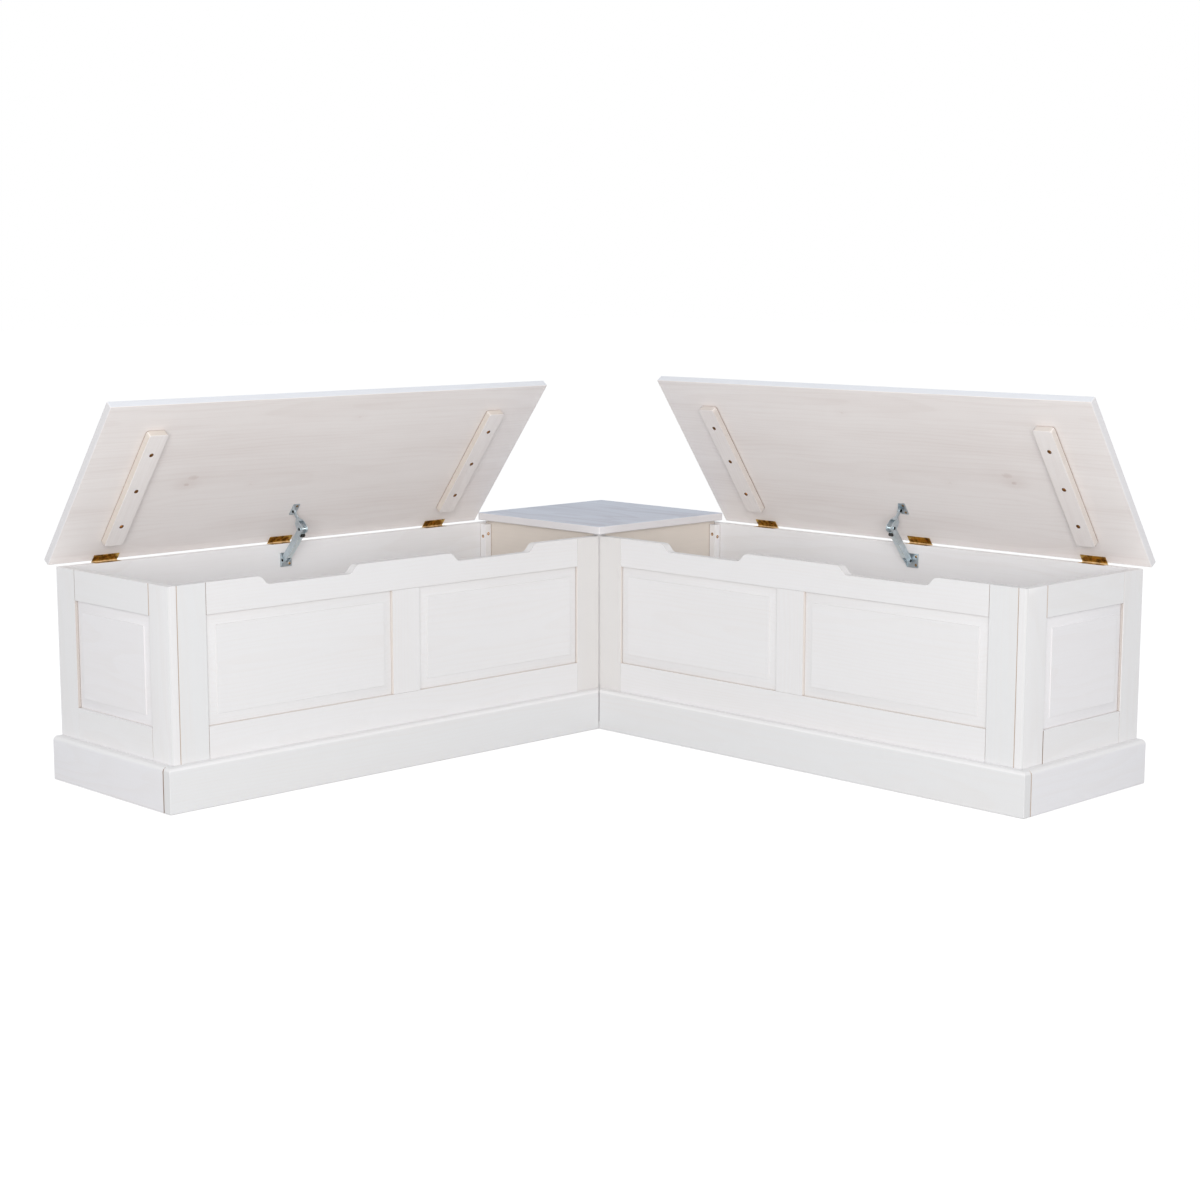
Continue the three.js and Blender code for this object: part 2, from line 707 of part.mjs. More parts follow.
/** The back of one chest, with a shallow rebate in its top edge for each fixed hinge leaf. */
function addBack(group, wing, hingePlaces) {
  const board = block([0, 0, 0], [chestEnd + wing.backReach, backThickness, carcassHeight]);
  const half = hingeLength / 2 + fitGap;
  const low = [backThickness - leafReach - fitGap, carcassHeight - leafThickness - fitGap];
  const high = [backThickness + overrun, carcassHeight + overrun];
  const rebates = Object.values(hingePlaces).map((along) => {
    const middle = along + wing.backReach;
    return block([middle - half, ...low], [middle + half, ...high]);
  });
  const back = cut(board, ...rebates);
  addPiece(group, wing, 'back_panel', back, FINISH.pine, [-wing.backReach, backFace, 0]);
}

/** The floor and cleat of one chest. */
function addShell(group, wing) {
  const innerBack = backFace - fitGap;
  const innerFront = frameThickness + fitGap;
  const floorSize = [chestEnd - chestStart, innerBack - innerFront, floorThickness];
  const floor = block([0, 0, 0], floorSize);
  addPiece(group, wing, 'floor_board', floor, FINISH.pine, [chestStart, innerFront, floorBase]);
  const cleatBase = floorBase + floorThickness + fitGap;
  const cleat = block([0, 0, 0], [cleatSide, cleatSide, carcassHeight - cleatDrop - cleatBase]);
  const cleatPlace = [chestStart, innerBack - cleatSide, cleatBase];
  addPiece(group, wing, 'corner_cleat', cleat, FINISH.pine, cleatPlace);
}

/** The partition that closes a chest towards the square corner. */
function addPartition(group, wing) {
  const front = frameThickness + fitGap;
  const height = carcassHeight + partitionRise - stileFoot;
  const board = block([0, 0, 0], [frameThickness, backFace - fitGap - front, height]);
  addPiece(group, wing, 'partition', board, FINISH.pine, [-frameThickness, front, stileFoot]);
}

/** The plinth boards of one wing. */
function addPlinth(group, wing) {
  addPiece(group, wing, 'front_plinth', frontPlinth(), FINISH.pine, [0, -fitGap, 0]);
  const endStart = wingLength + fitGap;
  addPiece(group, wing, 'end_plinth', endPlinth(), FINISH.pine, [endStart, plinthButtGap - fitGap, 0]);
}

/** The fixed leaves of the three hinges, let in flush with the top edge of the back. */
function addFixedLeaves(group, wing, hingePlaces) {
  const depth = chestDepth + hingeSetback;
  const height = carcassHeight + hingeRise;
  for (const [position, along] of Object.entries(hingePlaces)) {
    const leaf = hingeLeaf(true);
    addPiece(group, wing, `${position}_hinge_fixed_leaf`, leaf, FINISH.brass, [along, depth, height]);
  }
}

/** The lid with its battens, hinge leaves and stay bracket, in a group on the hinge axis. */
function addLid(group, wing, hingePlaces) {
  const lid = new THREE.Group();
  lid.position.set(0, wing.depthSign * (chestDepth + hingeSetback), carcassHeight + hingeRise);
  lid.rotation.x = -wing.depthSign * THREE.MathUtils.degToRad(wing.lidAngle);
  group.add(lid);
  const board = block([0, -lidDepth, 0], [lidEnd - lidStart, 0, lidThickness]);
  addPiece(lid, wing, 'lid_board', board, FINISH.lidPine, [lidStart, -hingeSetback, lidUnderside]);
  const battenPlaces = { inner: lidStart + battenEndInset, outer: lidEnd - battenEndInset };
  for (const [position, along] of Object.entries(battenPlaces)) {
    const place = [along, -hingeSetback - battenBackInset, lidUnderside - fitGap];
    addPiece(lid, wing, `lid_${position}_batten`, batten(), FINISH.lidPine, place);
  }
  for (const [position, along] of Object.entries(hingePlaces)) {
    addPiece(lid, wing, `${position}_hinge_lid_leaf`, hingeLeaf(false), FINISH.brass, [along, 0, 0]);
  }
  const bracket = stayBracket(lidPlateLength, lidPlateWidth, strapThickness).rotate([90, 0, 0]);
  const pivot = [wing.stayAlong, -lidPivot.forward, lidPivot.up];
  addPiece(lid, wing, 'stay_lid_bracket', bracket, FINISH.zinc, pivot, wing.depthSign);
}

/** The stay of one lid: a wall bracket, a channel arm that follows the lid, and an upper arm. */
function addStay(group, wing) {
  const angle = wing.depthSign * THREE.MathUtils.degToRad(wing.lidAngle);
  const hingeDepth = chestDepth + hingeSetback;
  const hingeHeight = carcassHeight + hingeRise;
  const stay = new THREE.Group();
  const pivotDepth = hingeDepth - wallPivot.forward;
  stay.position.set(wing.stayAlong, wing.depthSign * pivotDepth, hingeHeight + wallPivot.up);
  group.add(stay);
  const wallBracket = stayBracket(wallPlateHeight, wallPlateWidth, channelWidth);
  addPiece(stay, wing, 'stay_wall_bracket', wallBracket, FINISH.zinc, [0, 0, 0], wing.depthSign);
  const lowerArm = new THREE.Group();
  lowerArm.rotation.x = -angle;
  stay.add(lowerArm);
  addPiece(lowerArm, wing, 'stay_lower_arm', stayLowerArm(), FINISH.zinc, [0, 0, 0], wing.depthSign);
  addPiece(lowerArm, wing, 'stay_stop', stayStop(), FINISH.black, [0, 0, 0], wing.depthSign);
  const upperArm = new THREE.Group();
  upperArm.position.set(0, -wing.depthSign * lidPivot.forward, lidPivot.up);
  upperArm.rotation.x = angle;
  lowerArm.add(upperArm);
  addPiece(upperArm, wing, 'stay_upper_arm', stayUpperArm(), FINISH.zinc, [0, 0, 0], wing.depthSign);
}

/** How far the top back edge of an open lid reaches past the fronts' inner corner. */
function openLidReach(wing) {
  const angle = THREE.MathUtils.degToRad(wing.lidAngle);
  const topEdge = lidUnderside + lidThickness;
  const behindAxis = topEdge * Math.sin(angle) - hingeSetback * Math.cos(angle);
  return chestDepth + hingeSetback + behindAxis;
}

/** One complete wing, turned to its side of the bench. */
function buildWing(wing) {
  const group = new THREE.Group();
  group.rotation.z = THREE.MathUtils.degToRad(wing.turn);
  const hingePlaces = {
    inner: lidStart + hingeEndInset,
    middle: lidMiddle,
    outer: lidEnd - hingeEndInset,
  };
  addFront(group, wing);
  addEnd(group, wing);
  addBack(group, wing, hingePlaces);
  addShell(group, wing);
  addPartition(group, wing);
  addPlinth(group, wing);
  addFixedLeaves(group, wing, hingePlaces);
  addLid(group, wing, hingePlaces);
  addStay(group, wing);
  return group;
}

/** The square corner between the wings: its post and its fixed top board. */
function buildCorner() {
  const group = new THREE.Group();
  const post = new THREE.Mesh(
    geometryFrom(cornerPost(), 1, 1),
    new THREE.MeshStandardMaterial(FINISH.pine),
  );
  post.name = 'corner_post';
  post.position.z = stileFoot;
  const back = chestDepth - cornerTopInset;
  const board = block([-back, -lidFrontOverhang, 0], [lidFrontOverhang, back, lidThickness]);
  const top = new THREE.Mesh(
    geometryFrom(board, 1, 1),
    new THREE.MeshStandardMaterial(FINISH.lidPine),
  );
  top.name = 'corner_top';
  top.position.z = carcassHeight + partitionRise + fitGap;
  group.add(post, top);
  return group;
}

const bench = new THREE.Group();
bench.name = 'corner_storage_bench';
bench.add(buildWing(WING.left), buildWing(WING.right), buildCorner());
const freeSide = wingLength + fitGap + plinthThickness;
const middleX = (freeSide - openLidReach(WING.left)) / 2;
const middleY = (openLidReach(WING.right) - freeSide) / 2;
bench.position.set(-middleX, -middleY, 0);

export default bench;
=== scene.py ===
"""The looks of a corner storage bench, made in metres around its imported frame."""

from __future__ import annotations

import json
import logging
import math
import random
from collections.abc import Callable, Iterable, Sequence
from dataclasses import dataclass, field, replace
from enum import Enum
from functools import partial
from typing import TypeAlias

import bmesh
import bpy
from mathutils import Matrix, Vector

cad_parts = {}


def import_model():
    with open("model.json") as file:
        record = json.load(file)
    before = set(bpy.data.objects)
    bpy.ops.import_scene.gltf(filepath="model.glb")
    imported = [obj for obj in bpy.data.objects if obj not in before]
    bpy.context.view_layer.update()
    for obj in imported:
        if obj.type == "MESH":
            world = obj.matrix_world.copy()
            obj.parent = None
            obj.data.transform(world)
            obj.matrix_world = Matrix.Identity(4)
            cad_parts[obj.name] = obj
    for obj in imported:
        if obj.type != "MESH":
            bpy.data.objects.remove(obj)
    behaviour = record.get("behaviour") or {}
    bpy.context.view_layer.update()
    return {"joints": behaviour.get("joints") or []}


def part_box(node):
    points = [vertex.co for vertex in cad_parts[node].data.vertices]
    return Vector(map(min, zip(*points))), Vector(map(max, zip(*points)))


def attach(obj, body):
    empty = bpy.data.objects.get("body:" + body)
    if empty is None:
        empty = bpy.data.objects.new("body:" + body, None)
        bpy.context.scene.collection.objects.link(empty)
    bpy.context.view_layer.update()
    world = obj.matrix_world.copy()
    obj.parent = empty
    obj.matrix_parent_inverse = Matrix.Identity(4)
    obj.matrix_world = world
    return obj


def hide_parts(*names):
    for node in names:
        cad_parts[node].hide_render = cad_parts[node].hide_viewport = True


LOG = logging.getLogger("corner_bench")

Colour = tuple[float, float, float]
Piece = bpy.types.Object
Socket = bpy.types.NodeSocket
Value: TypeAlias = "Term | float | Sequence[float] | str"
Inputs: TypeAlias = "dict[int | str, Value]"
Terms: TypeAlias = "dict[str, Term]"
Chosen = Callable[[Vector], bool]

WELD = 0.000002
FLAT_ANGLE = math.radians(0.4)
SMOOTH_ANGLE = math.radians(32)
EASE_ANGLE = math.radians(40)

# How far apart the boards lie along the tree, so that no two share a figure.
BOARD_SPACING = 7.0
# A face looks squarely along an axis, or an arris or a rounding leans to it, when its outward
# direction has more than this along it.
SQUARE_FRONT = 0.97
SQUARE = 0.95
LEVEL = 0.9
STEEP = 0.8
HALF = 0.5
ROUND_TOP = 0.35
LEANING = 0.3
SLIGHTLY = 0.15


class Side(Enum):
    """The two wings of the bench, as seen from the front of the corner."""

    LEFT = "left"
    RIGHT = "right"


class Grain(Enum):
    """The way the grain of a board runs within its wing, with its wide and thin directions.

    Each value lists which wing direction (0 along, 1 deep, 2 up) is grain, width and thickness.
    On a lid the directions are 0 along, 1 forward and 2 off the underside.
    """

    ALONG_FRONT = (0, 2, 1)
    UPRIGHT_FRONT = (2, 0, 1)
    DEEP_END = (1, 2, 0)
    UPRIGHT_END = (2, 1, 0)
    FLAT_ALONG = (0, 1, 2)
    FLAT_DEEP = (1, 0, 2)


class Slot(Enum):
    """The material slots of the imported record."""

    WASHED_PINE = "washed_pine"
    LID_PINE = "lid_pine"
    BRASS = "brass"
    ZINC = "zinc_steel"
    RUBBER = "black_rubber"


def linear(colour: Colour) -> tuple[float, float, float, float]:
    """Turns a colour of 0 to 255 as seen on a screen into linear values.

    Args:
        colour: Red, green and blue as a screen shows them.

    Returns:
        Linear red, green and blue, with full alpha.
    """

    def channel(value: float) -> float:
        """Turns one channel."""
        share = value / 255
        return share / 12.92 if share <= 0.04045 else ((share + 0.055) / 1.055) ** 2.4

    red, green, blue = (channel(value) for value in colour)
    return (red, green, blue, 1.0)


@dataclass(frozen=True)
class Term:
    """A value of a node tree that others can be reckoned from."""

    desk: NodeDesk
    socket: Socket

    def __add__(self, other: Term | float) -> Term:
        """Adds a value."""
        return self.desk.calc("ADD", self, other)

    def __sub__(self, other: Term | float) -> Term:
        """Takes a value away."""
        return self.desk.calc("SUBTRACT", self, other)

    def __rsub__(self, other: float) -> Term:
        """Takes this away from a number."""
        return self.desk.calc("SUBTRACT", other, self)

    def __mul__(self, other: Term | float) -> Term:
        """Multiplies by a value."""
        return self.desk.calc("MULTIPLY", self, other)

    def __truediv__(self, other: Term | float) -> Term:
        """Divides by a value."""
        return self.desk.calc("DIVIDE", self, other)

    def __pow__(self, other: float) -> Term:
        """Raises to a power."""
        return self.desk.calc("POWER", self, other)


class NodeDesk:
    """Lays out and joins the nodes of one tree."""

    def __init__(self, tree: bpy.types.NodeTree) -> None:
        """Keeps the tree and empties it."""
        self.tree = tree
        tree.nodes.clear()

    def add(self, kind: str, inputs: Inputs | None = None, **settings: object) -> bpy.types.Node:
        """Adds one node.

        Args:
            kind: The node's type.
            inputs: Terms or plain values, by the name or the number of the input they go to.
            settings: The node's own settings.

        Returns:
            The node.
        """
        node = self.tree.nodes.new(kind)
        for name, value in settings.items():
            setattr(node, name, value)
        for name, value in (inputs or {}).items():
            self.feed(node.inputs[name], value)
        return node

    def feed(self, socket: Socket, value: Value) -> None:
        """Joins an input to a term, or writes a plain value into it.

        Args:
            socket: The input.
            value: The term or the value.
        """
        if isinstance(value, Term):
            self.tree.links.new(value.socket, socket)
        else:
            socket.default_value = value

    def out(
        self, kind: str, inputs: Inputs | None = None, output: int | str = 0, **settings: object
    ) -> Term:
        """Adds one node, as add does, and gives one of its outputs, by number or name."""
        return Term(self, self.add(kind, inputs, **settings).outputs[output])

    def terms(self, node: bpy.types.Node) -> Terms:
        """Gives all the outputs of a node by name."""
        return {socket.name: Term(self, socket) for socket in node.outputs}

    def calc(self, operation: str, *values: Term | float) -> Term:
        """Adds a math node with its inputs in order."""
        return self.out("ShaderNodeMath", dict(enumerate(values)), operation=operation)

    def vector(self, operation: str, *values: Value, output: str = "Vector") -> Term:
        """Adds a vector math node with its inputs in order."""
        inputs = dict(enumerate(values))
        return self.out("ShaderNodeVectorMath", inputs, output, operation=operation)

    def split(self, vector: Term) -> Iterable[Term]:
        """Gives the x, y and z of a vector."""
        return self.terms(self.add("ShaderNodeSeparateXYZ", {0: vector})).values()

    def join(self, *values: Term | float) -> Term:
        """Makes a vector of its x, y and z."""
        return self.out("ShaderNodeCombineXYZ", dict(enumerate(values)))

    def blend(self, share: Term, low: Value, high: Value) -> Term:
        """Mixes two colours by a share."""
        return self.out("ShaderNodeMix", {0: share, 6: low, 7: high}, 2, data_type="RGBA")

    def ramp(self, value: Term, low: float, high: float) -> Term:
        """Spreads a value between two bounds over 0 to 1, with soft ends."""
        inputs = {"Value": value, "From Min": low, "From Max": high}
        return self.out("ShaderNodeMapRange", inputs, "Result", interpolation_type="SMOOTHSTEP")

    def noise(self, place: Term, scale: float | Sequence[float], detail: float) -> Term:
        """Reads a noise texture.

        Args:
            place: Where it is read.
            scale: Its scale for all axes, or one for each.
            detail: How many finer layers it has.

        Returns:
            The noise, from 0 to 1.
        """
        if not isinstance(scale, float):
            place, scale = self.vector("MULTIPLY", place, scale), 1.0
        inputs = {"Vector": place, "Scale": scale, "Detail": detail}
        return self.out("ShaderNodeTexNoise", inputs, "Fac")

    def object_place(self) -> Term:
        """Gives the object coordinates."""
        return self.out("ShaderNodeTexCoord", None, "Object")

    def relief(self, height: Term, depth: float, strength: float) -> Term:
        """Turns a height of some depth in metres into a normal, by a strength of 0 to 1."""
        inputs = {"Strength": strength, "Distance": depth, "Height": height}
        return self.out("ShaderNodeBump", inputs)


@dataclass(frozen=True)
class SharedGroup:
    """A node group that is made once and used again wherever it is needed."""

    name: str
    inputs: dict[str, str]
    outputs: dict[str, str]
    draw: Callable[[NodeDesk, Terms], Terms]
    kind: str = "ShaderNodeTree"

    def tree(self) -> bpy.types.NodeTree:
        """Makes the group, or hands back the one made before.

        Returns:
            The node group.
        """
        found = bpy.data.node_groups.get(self.name)
        if found is not None:
            return found
        tree = bpy.data.node_groups.new(self.name, self.kind)
        for way, wanted in (("OUTPUT", self.outputs), ("INPUT", self.inputs)):
            for name, kind in wanted.items():
                tree.interface.new_socket(name, in_out=way, socket_type=f"NodeSocket{kind}")
        desk = NodeDesk(tree)
        given = desk.terms(desk.add("NodeGroupInput"))
        desk.add("NodeGroupOutput", self.draw(desk, given))
        return tree

    def values_of(self, source: object) -> dict[str, Value]:
        """Collects the inputs that a finish, a knot or a fastener has a field for.

        Args:
            source: What has the fields, named like the inputs.

        Returns:
            The values by input name, with the colours made linear.
        """
        values = {}
        for name in self.inputs:
            value = getattr(source, name.lower().replace(" ", "_"), None)
            if value is not None:
                values[name] = linear(value) if isinstance(value, tuple) else value
        return values

    def place(self, desk: NodeDesk, source: object, others: dict[str, Value]) -> Terms:
        """Places the group in a material.

        Args:
            desk: The material's desk.
            source: What has fields named like the group's inputs.
            others: The rest of the inputs by name.

        Returns:
            The group's outputs by name.
        """
        values = self.values_of(source) | others
        return desk.terms(desk.add("ShaderNodeGroup", values, node_tree=self.tree()))


def draw_pine(desk: NodeDesk, given: Terms) -> Terms:
    """Draws growth rings and fibres that run along the x of the timber coordinates.

    Each strip of a board has a pith of its own, aside from the strip's middle and below its face.

    Args:
        desk: The desk of the group's tree.
        given: The group's inputs.

    Returns:
        The group's outputs.
    """
    pith_aside, pith_spread, pith_below = 0.07, 0.05, 0.035
    drift_width = 0.055
    timber, strip_width = given["Timber"], given["Strip Width"]
    grain, width, depth = desk.split(timber)
    strip = desk.calc("FLOOR", width / strip_width)
    seed = {"Vector": desk.join(strip, desk.calc("FLOOR", grain / BOARD_SPACING))}
    lot = desk.out("ShaderNodeTexWhiteNoise", seed, "Value", noise_dimensions="2D")
    across = (width - (strip + 0.5) * strip_width) + (lot - 0.5) * pith_aside
    below = depth + (lot * pith_spread + pith_below)
    drift = desk.noise(timber, (1.3, 6.0, 6.0), 2.0) * drift_width
    radius = desk.calc("SQRT", across**2.0 + below**2.0)
    turn = desk.calc("FRACT", (radius + drift) / given["Ring Pitch"])
    late = desk.ramp(turn, 0.35, 0.88) * (1.0 - desk.ramp(turn, 0.93, 1.0))
    fibre = desk.noise(timber, (9.0, 420.0, 420.0), 3.0)
    cloud = desk.noise(timber, (1.6, 11.0, 11.0), 3.0)
    rings = late * desk.calc("MULTIPLY_ADD", cloud, 1.1, 0.15) * given["Figure Strength"]
    threads = desk.ramp(fibre, 0.45, 0.75) * given["Fibre Strength"]
    patches = desk.ramp(cloud, 0.35, 0.75) * given["Cloud Strength"]
    knot = desk.calc("MINIMUM", given["Knot"], 1.0)
    total = desk.calc("MINIMUM", (rings + threads) + (patches + knot), 1.0)
    return {
        "Color": desk.blend(total, given["Wash"], given["Figure"]),
        "Roughness": desk.calc("MULTIPLY_ADD", total, 0.12, given["Roughness"]),
        "Height": late * -0.5 + fibre * -0.5,
    }


def draw_knot(desk: NodeDesk, given: Terms) -> Terms:
    """Draws one knot: a soft dark eye in a paler halo, stretched a little along the grain.

    Args:
        desk: The desk of the group's tree.
        given: The group's inputs.

    Returns:
        The group's outputs.
    """
    wobble_size, halo_strength = 0.7, 0.25
    away = desk.vector("SUBTRACT", given["Timber"], given["Centre"])
    stretched = desk.vector("MULTIPLY", away, (0.55, 1.0, 0.0))
    length = desk.vector("LENGTH", stretched, output="Value")
    wobble = desk.noise(given["Timber"], (160.0, 160.0, 0.0), 1.0)
    ratio = length / given["Radius"] + wobble * wobble_size
    eye = 1.0 - desk.ramp(ratio, 0.5, 1.3)
    halo = (1.0 - desk.ramp(ratio, 1.0, 4.2)) * halo_strength
    return {"Mask": desk.calc("MAXIMUM", eye, halo) * given["Strength"]}


def draw_seams_and_crevice_shade(desk: NodeDesk, given: Terms) -> Terms:
    """Draws the bare wood that shows in joints and foot lines, and with it painted shade in every
    crevice that ambient occlusion finds closed in.

    Args:
        desk: The desk of the group's tree.
        given: The group's inputs.

    Returns:
        The group's outputs.
    """
    reach = {"Distance": given["Seam Reach"]}
    open_sky = desk.out("ShaderNodeAmbientOcclusion", reach, "AO", samples=8)
    # Painted shade: the more closed in a spot is, the more of the bare colour it takes.
    crevice_shade = 1.0 - desk.ramp(open_sky, 0.28, 0.86)
    _, _, height = desk.split(desk.object_place())
    above = desk.calc("GREATER_THAN", height, given["Washed Below"])
    share = crevice_shade * above * given["Seam Strength"]
    return {"Color": desk.blend(share, given["Color"], given["Bare"])}


def draw_patina(desk: NodeDesk, given: Terms) -> Terms:
    """Draws cloudy dulling and fine scratches for plated metal.

    Args:
        desk: The desk of the group's tree.
        given: The group's inputs.

    Returns:
        The group's outputs.
    """
    cloud = desk.noise(given["Place"], 95.0, 3.0)
    speck = desk.noise(given["Place"], 1500.0, 2.0)
    scratch = desk.noise(given["Place"], (260.0, 260.0, 5200.0), 2.0)
    clouds = desk.ramp(cloud, 0.38, 0.66) * given["Dulling"]
    specks = desk.ramp(speck, 0.5, 0.75) * given["Speckle"]
    dull = desk.calc("MINIMUM", clouds + specks, 1.0)
    rough = desk.calc("MULTIPLY_ADD", dull, 0.16, given["Roughness"])
    return {
        "Color": desk.blend(dull, given["Bright"], given["Dull"]),
        "Roughness": rough + (scratch - 0.5) * 0.12,
        "Height": speck * 0.5 + scratch,
    }


def cross_recess(desk: NodeDesk, given: Terms, head: Term) -> Term:
    """Cuts a cross recess into a head.

    Args:
        desk: The desk of the group's tree.
        given: The group's inputs.
        head: The plain head.

    Returns:
        The recessed head.
    """
    bar_length, bar_width, bar_depth = 1.15, 0.26, 0.9
    how = {"operation": "DIFFERENCE", "solver": "EXACT"}
    cut_head = desk.add("GeometryNodeMeshBoolean", {0: head}, **how)
    for shares in ((bar_length, bar_width), (bar_width, bar_length)):
        sides = [given["Head Radius"] * share for share in shares]
        size = {"Size": desk.join(*sides, given["Head Depth"] * bar_depth)}
        bar = desk.out("GeometryNodeMeshCube", size, "Mesh")
        lift = desk.join(0.0, 0.0, given["Head Rise"])
        lifted = desk.out("GeometryNodeTransform", {"Geometry": bar, "Translation": lift})
        desk.feed(cut_head.inputs[1], lifted)
    return Term(desk, cut_head.outputs[0])


def set_heads(desk: NodeDesk, given: Terms, crossed: bool) -> Terms:
    """Sets a head on each point, facing and turned as the point says.

    Args:
        desk: The desk of the group's tree.
        given: The group's inputs.
        crossed: Whether the head has a cross recess.

    Returns:
        The group's outputs.
    """
    radius, depth = given["Head Radius"], given["Head Depth"]
    sizes = {"Vertices": given["Sides"], "Fill Segments": 4, "Depth": depth}
    sizes |= {"Radius Top": radius, "Radius Bottom": given["Neck Radius"]}
    cone = desk.out("GeometryNodeMeshCone", sizes, "Mesh", fill_type="NGON")
    sink = desk.join(0.0, 0.0, depth * -1.0)
    sunk = desk.out("GeometryNodeTransform", {"Geometry": cone, "Translation": sink})
    x, y, z = desk.split(desk.out("GeometryNodeInputPosition"))
    just_below_rim = -1e-6
    rise = (1.0 - (x**2.0 + y**2.0) / radius**2.0) * given["Head Rise"]
    dome = desk.join(0.0, 0.0, rise * desk.calc("GREATER_THAN", z, just_below_rim))
    head = desk.out("GeometryNodeSetPosition", {"Geometry": sunk, "Offset": dome})
    if crossed:
        head = cross_recess(desk, given, head)
    facing, turn = (
        desk.out("GeometryNodeInputNamedAttribute", {"Name": name}, "Attribute", data_type=kind)
        for name, kind in (("facing", "FLOAT_VECTOR"), ("turn", "FLOAT"))
    )
    aim = desk.out("FunctionNodeAlignRotationToVector", {"Vector": facing}, axis="Z")
    spin = desk.out("FunctionNodeAxisAngleToRotation", {"Axis": (0.0, 0.0, 1.0), "Angle": turn})
    both = {"Rotation": aim, "Rotate By": spin}
    rotation = desk.out("FunctionNodeRotateRotation", both, rotation_space="LOCAL")
    scatter = {"Points": given["Geometry"], "Instance": head, "Rotation": rotation}
    scattered = desk.out("GeometryNodeInstanceOnPoints", scatter)
    real = desk.out("GeometryNodeRealizeInstances", {"Geometry": scattered})
    coloured = {"Geometry": real, "Material": given["Finish"]}
    return {"Geometry": desk.out("GeometryNodeSetMaterial", coloured)}


def sockets(kind: str, *names: str) -> dict[str, str]:
    """Lists the sockets of one kind by name."""
    return dict.fromkeys(names, kind)


SURFACE = sockets("Color", "Color") | sockets("Float", "Roughness", "Height")
PINE_FIGURE = SharedGroup(
    "pine_figure",
    sockets("Vector", "Timber")
    | sockets("Color", "Wash", "Figure")
    | sockets("Float", "Figure Strength", "Fibre Strength", "Cloud Strength")
    | sockets("Float", "Ring Pitch", "Strip Width", "Roughness", "Knot"),
    SURFACE,
    draw_pine,
)
PINE_KNOT = SharedGroup(
    "pine_knot",
    sockets("Vector", "Timber", "Centre") | sockets("Float", "Radius", "Strength"),
    sockets("Float", "Mask"),
    draw_knot,
)
# Bare joints together with painted crevice shade, both drawn from ambient occlusion.
SEAMS_AND_CREVICE_SHADE = SharedGroup(
    "bare_seams",
    sockets("Color", "Color", "Bare")
    | sockets("Float", "Seam Reach", "Seam Strength", "Washed Below"),
    sockets("Color", "Color"),
    draw_seams_and_crevice_shade,
)
PLATE_PATINA = SharedGroup(
    "plate_patina",
    sockets("Vector", "Place")
    | sockets("Color", "Bright", "Dull")
    | sockets("Float", "Dulling", "Speckle", "Roughness"),
    SURFACE,
    draw_patina,
)
HEADS = {
    crossed: SharedGroup(
        name,
        sockets("Geometry", "Geometry")
        | sockets("Float", "Head Radius", "Neck Radius", "Head Depth", "Head Rise")
        | sockets("Int", "Sides")
        | sockets("Material", "Finish"),
        sockets("Geometry", "Geometry"),
        partial(set_heads, crossed=crossed),
        "GeometryNodeTree",
    )
    for crossed, name in ((True, "crossed_heads"), (False, "plain_heads"))
}


@dataclass(frozen=True)
class Finish:
    """A procedural material, built at its first use."""

    name: str

    def material(self) -> bpy.types.Material:
        """Builds the material, or hands back the one built before.

        Returns:
            The material.
        """
        found = bpy.data.materials.get(self.name)
        if found is not None:
            return found
        material = bpy.data.materials.new(self.name)
        material.use_nodes = True
        desk = NodeDesk(material.node_tree)
        surface = desk.out("ShaderNodeBsdfPrincipled", self.looks(desk))
        desk.add("ShaderNodeOutputMaterial", {"Surface": surface})
        return material

    def looks(self, desk: NodeDesk) -> dict[str, Value]:
        """Lays out the finish on the material's desk and gives the surface shader's inputs."""
        raise NotImplementedError


@dataclass(frozen=True)
class Knot:
    """A knot of a board, at its place along and across the grain."""

    along: float
    across: float
    radius: float
    strength: float


@dataclass(frozen=True)
class WashedPine(Finish):
    """Pine under a thin wash, with its grain faintly showing."""

    wash: Colour
    figure: Colour
    figure_strength: float = 0.10
    fibre_strength: float = 0.07
    cloud_strength: float = 0.08
    ring_pitch: float = 0.0062
    strip_width: float = 0.19
    roughness: float = 0.5
    knots: tuple[Knot, ...] = ()
    # The bare colour is also the colour of the painted crevice shade, which reaches seam_reach into
    # a crevice, by seam_strength, only above the height washed_below.
    bare: Colour = (150, 112, 74)
    seam_reach: float = 0.003
    seam_strength: float = 0.85
    washed_below: float = 0.0
    relief_depth: float = 0.0002
    relief_strength: float = 0.16
    specular: float = 0.35

    def looks(self, desk: NodeDesk) -> dict[str, Value]:
        """Lays out the knots, the figure, and the bare seams with their painted crevice shade.

        Args:
            desk: The material's desk.

        Returns:
            The surface shader's inputs.
        """
        timber = desk.out("ShaderNodeAttribute", None, "Vector", attribute_name="timber")
        mask: Term | float = 0.0
        for knot in self.knots:
            place = {"Timber": timber, "Centre": (knot.along, knot.across, 0.0)}
            mask = PINE_KNOT.place(desk, knot, place)["Mask"] + mask
        figure = PINE_FIGURE.place(desk, self, {"Timber": timber, "Knot": mask})
        return {
            "Base Color": SEAMS_AND_CREVICE_SHADE.place(desk, self, {"Color": figure["Color"]})["Color"],
            "Roughness": figure["Roughness"],
            "Specular IOR Level": self.specular,
            "Normal": desk.relief(figure["Height"], self.relief_depth, self.relief_strength),
        }


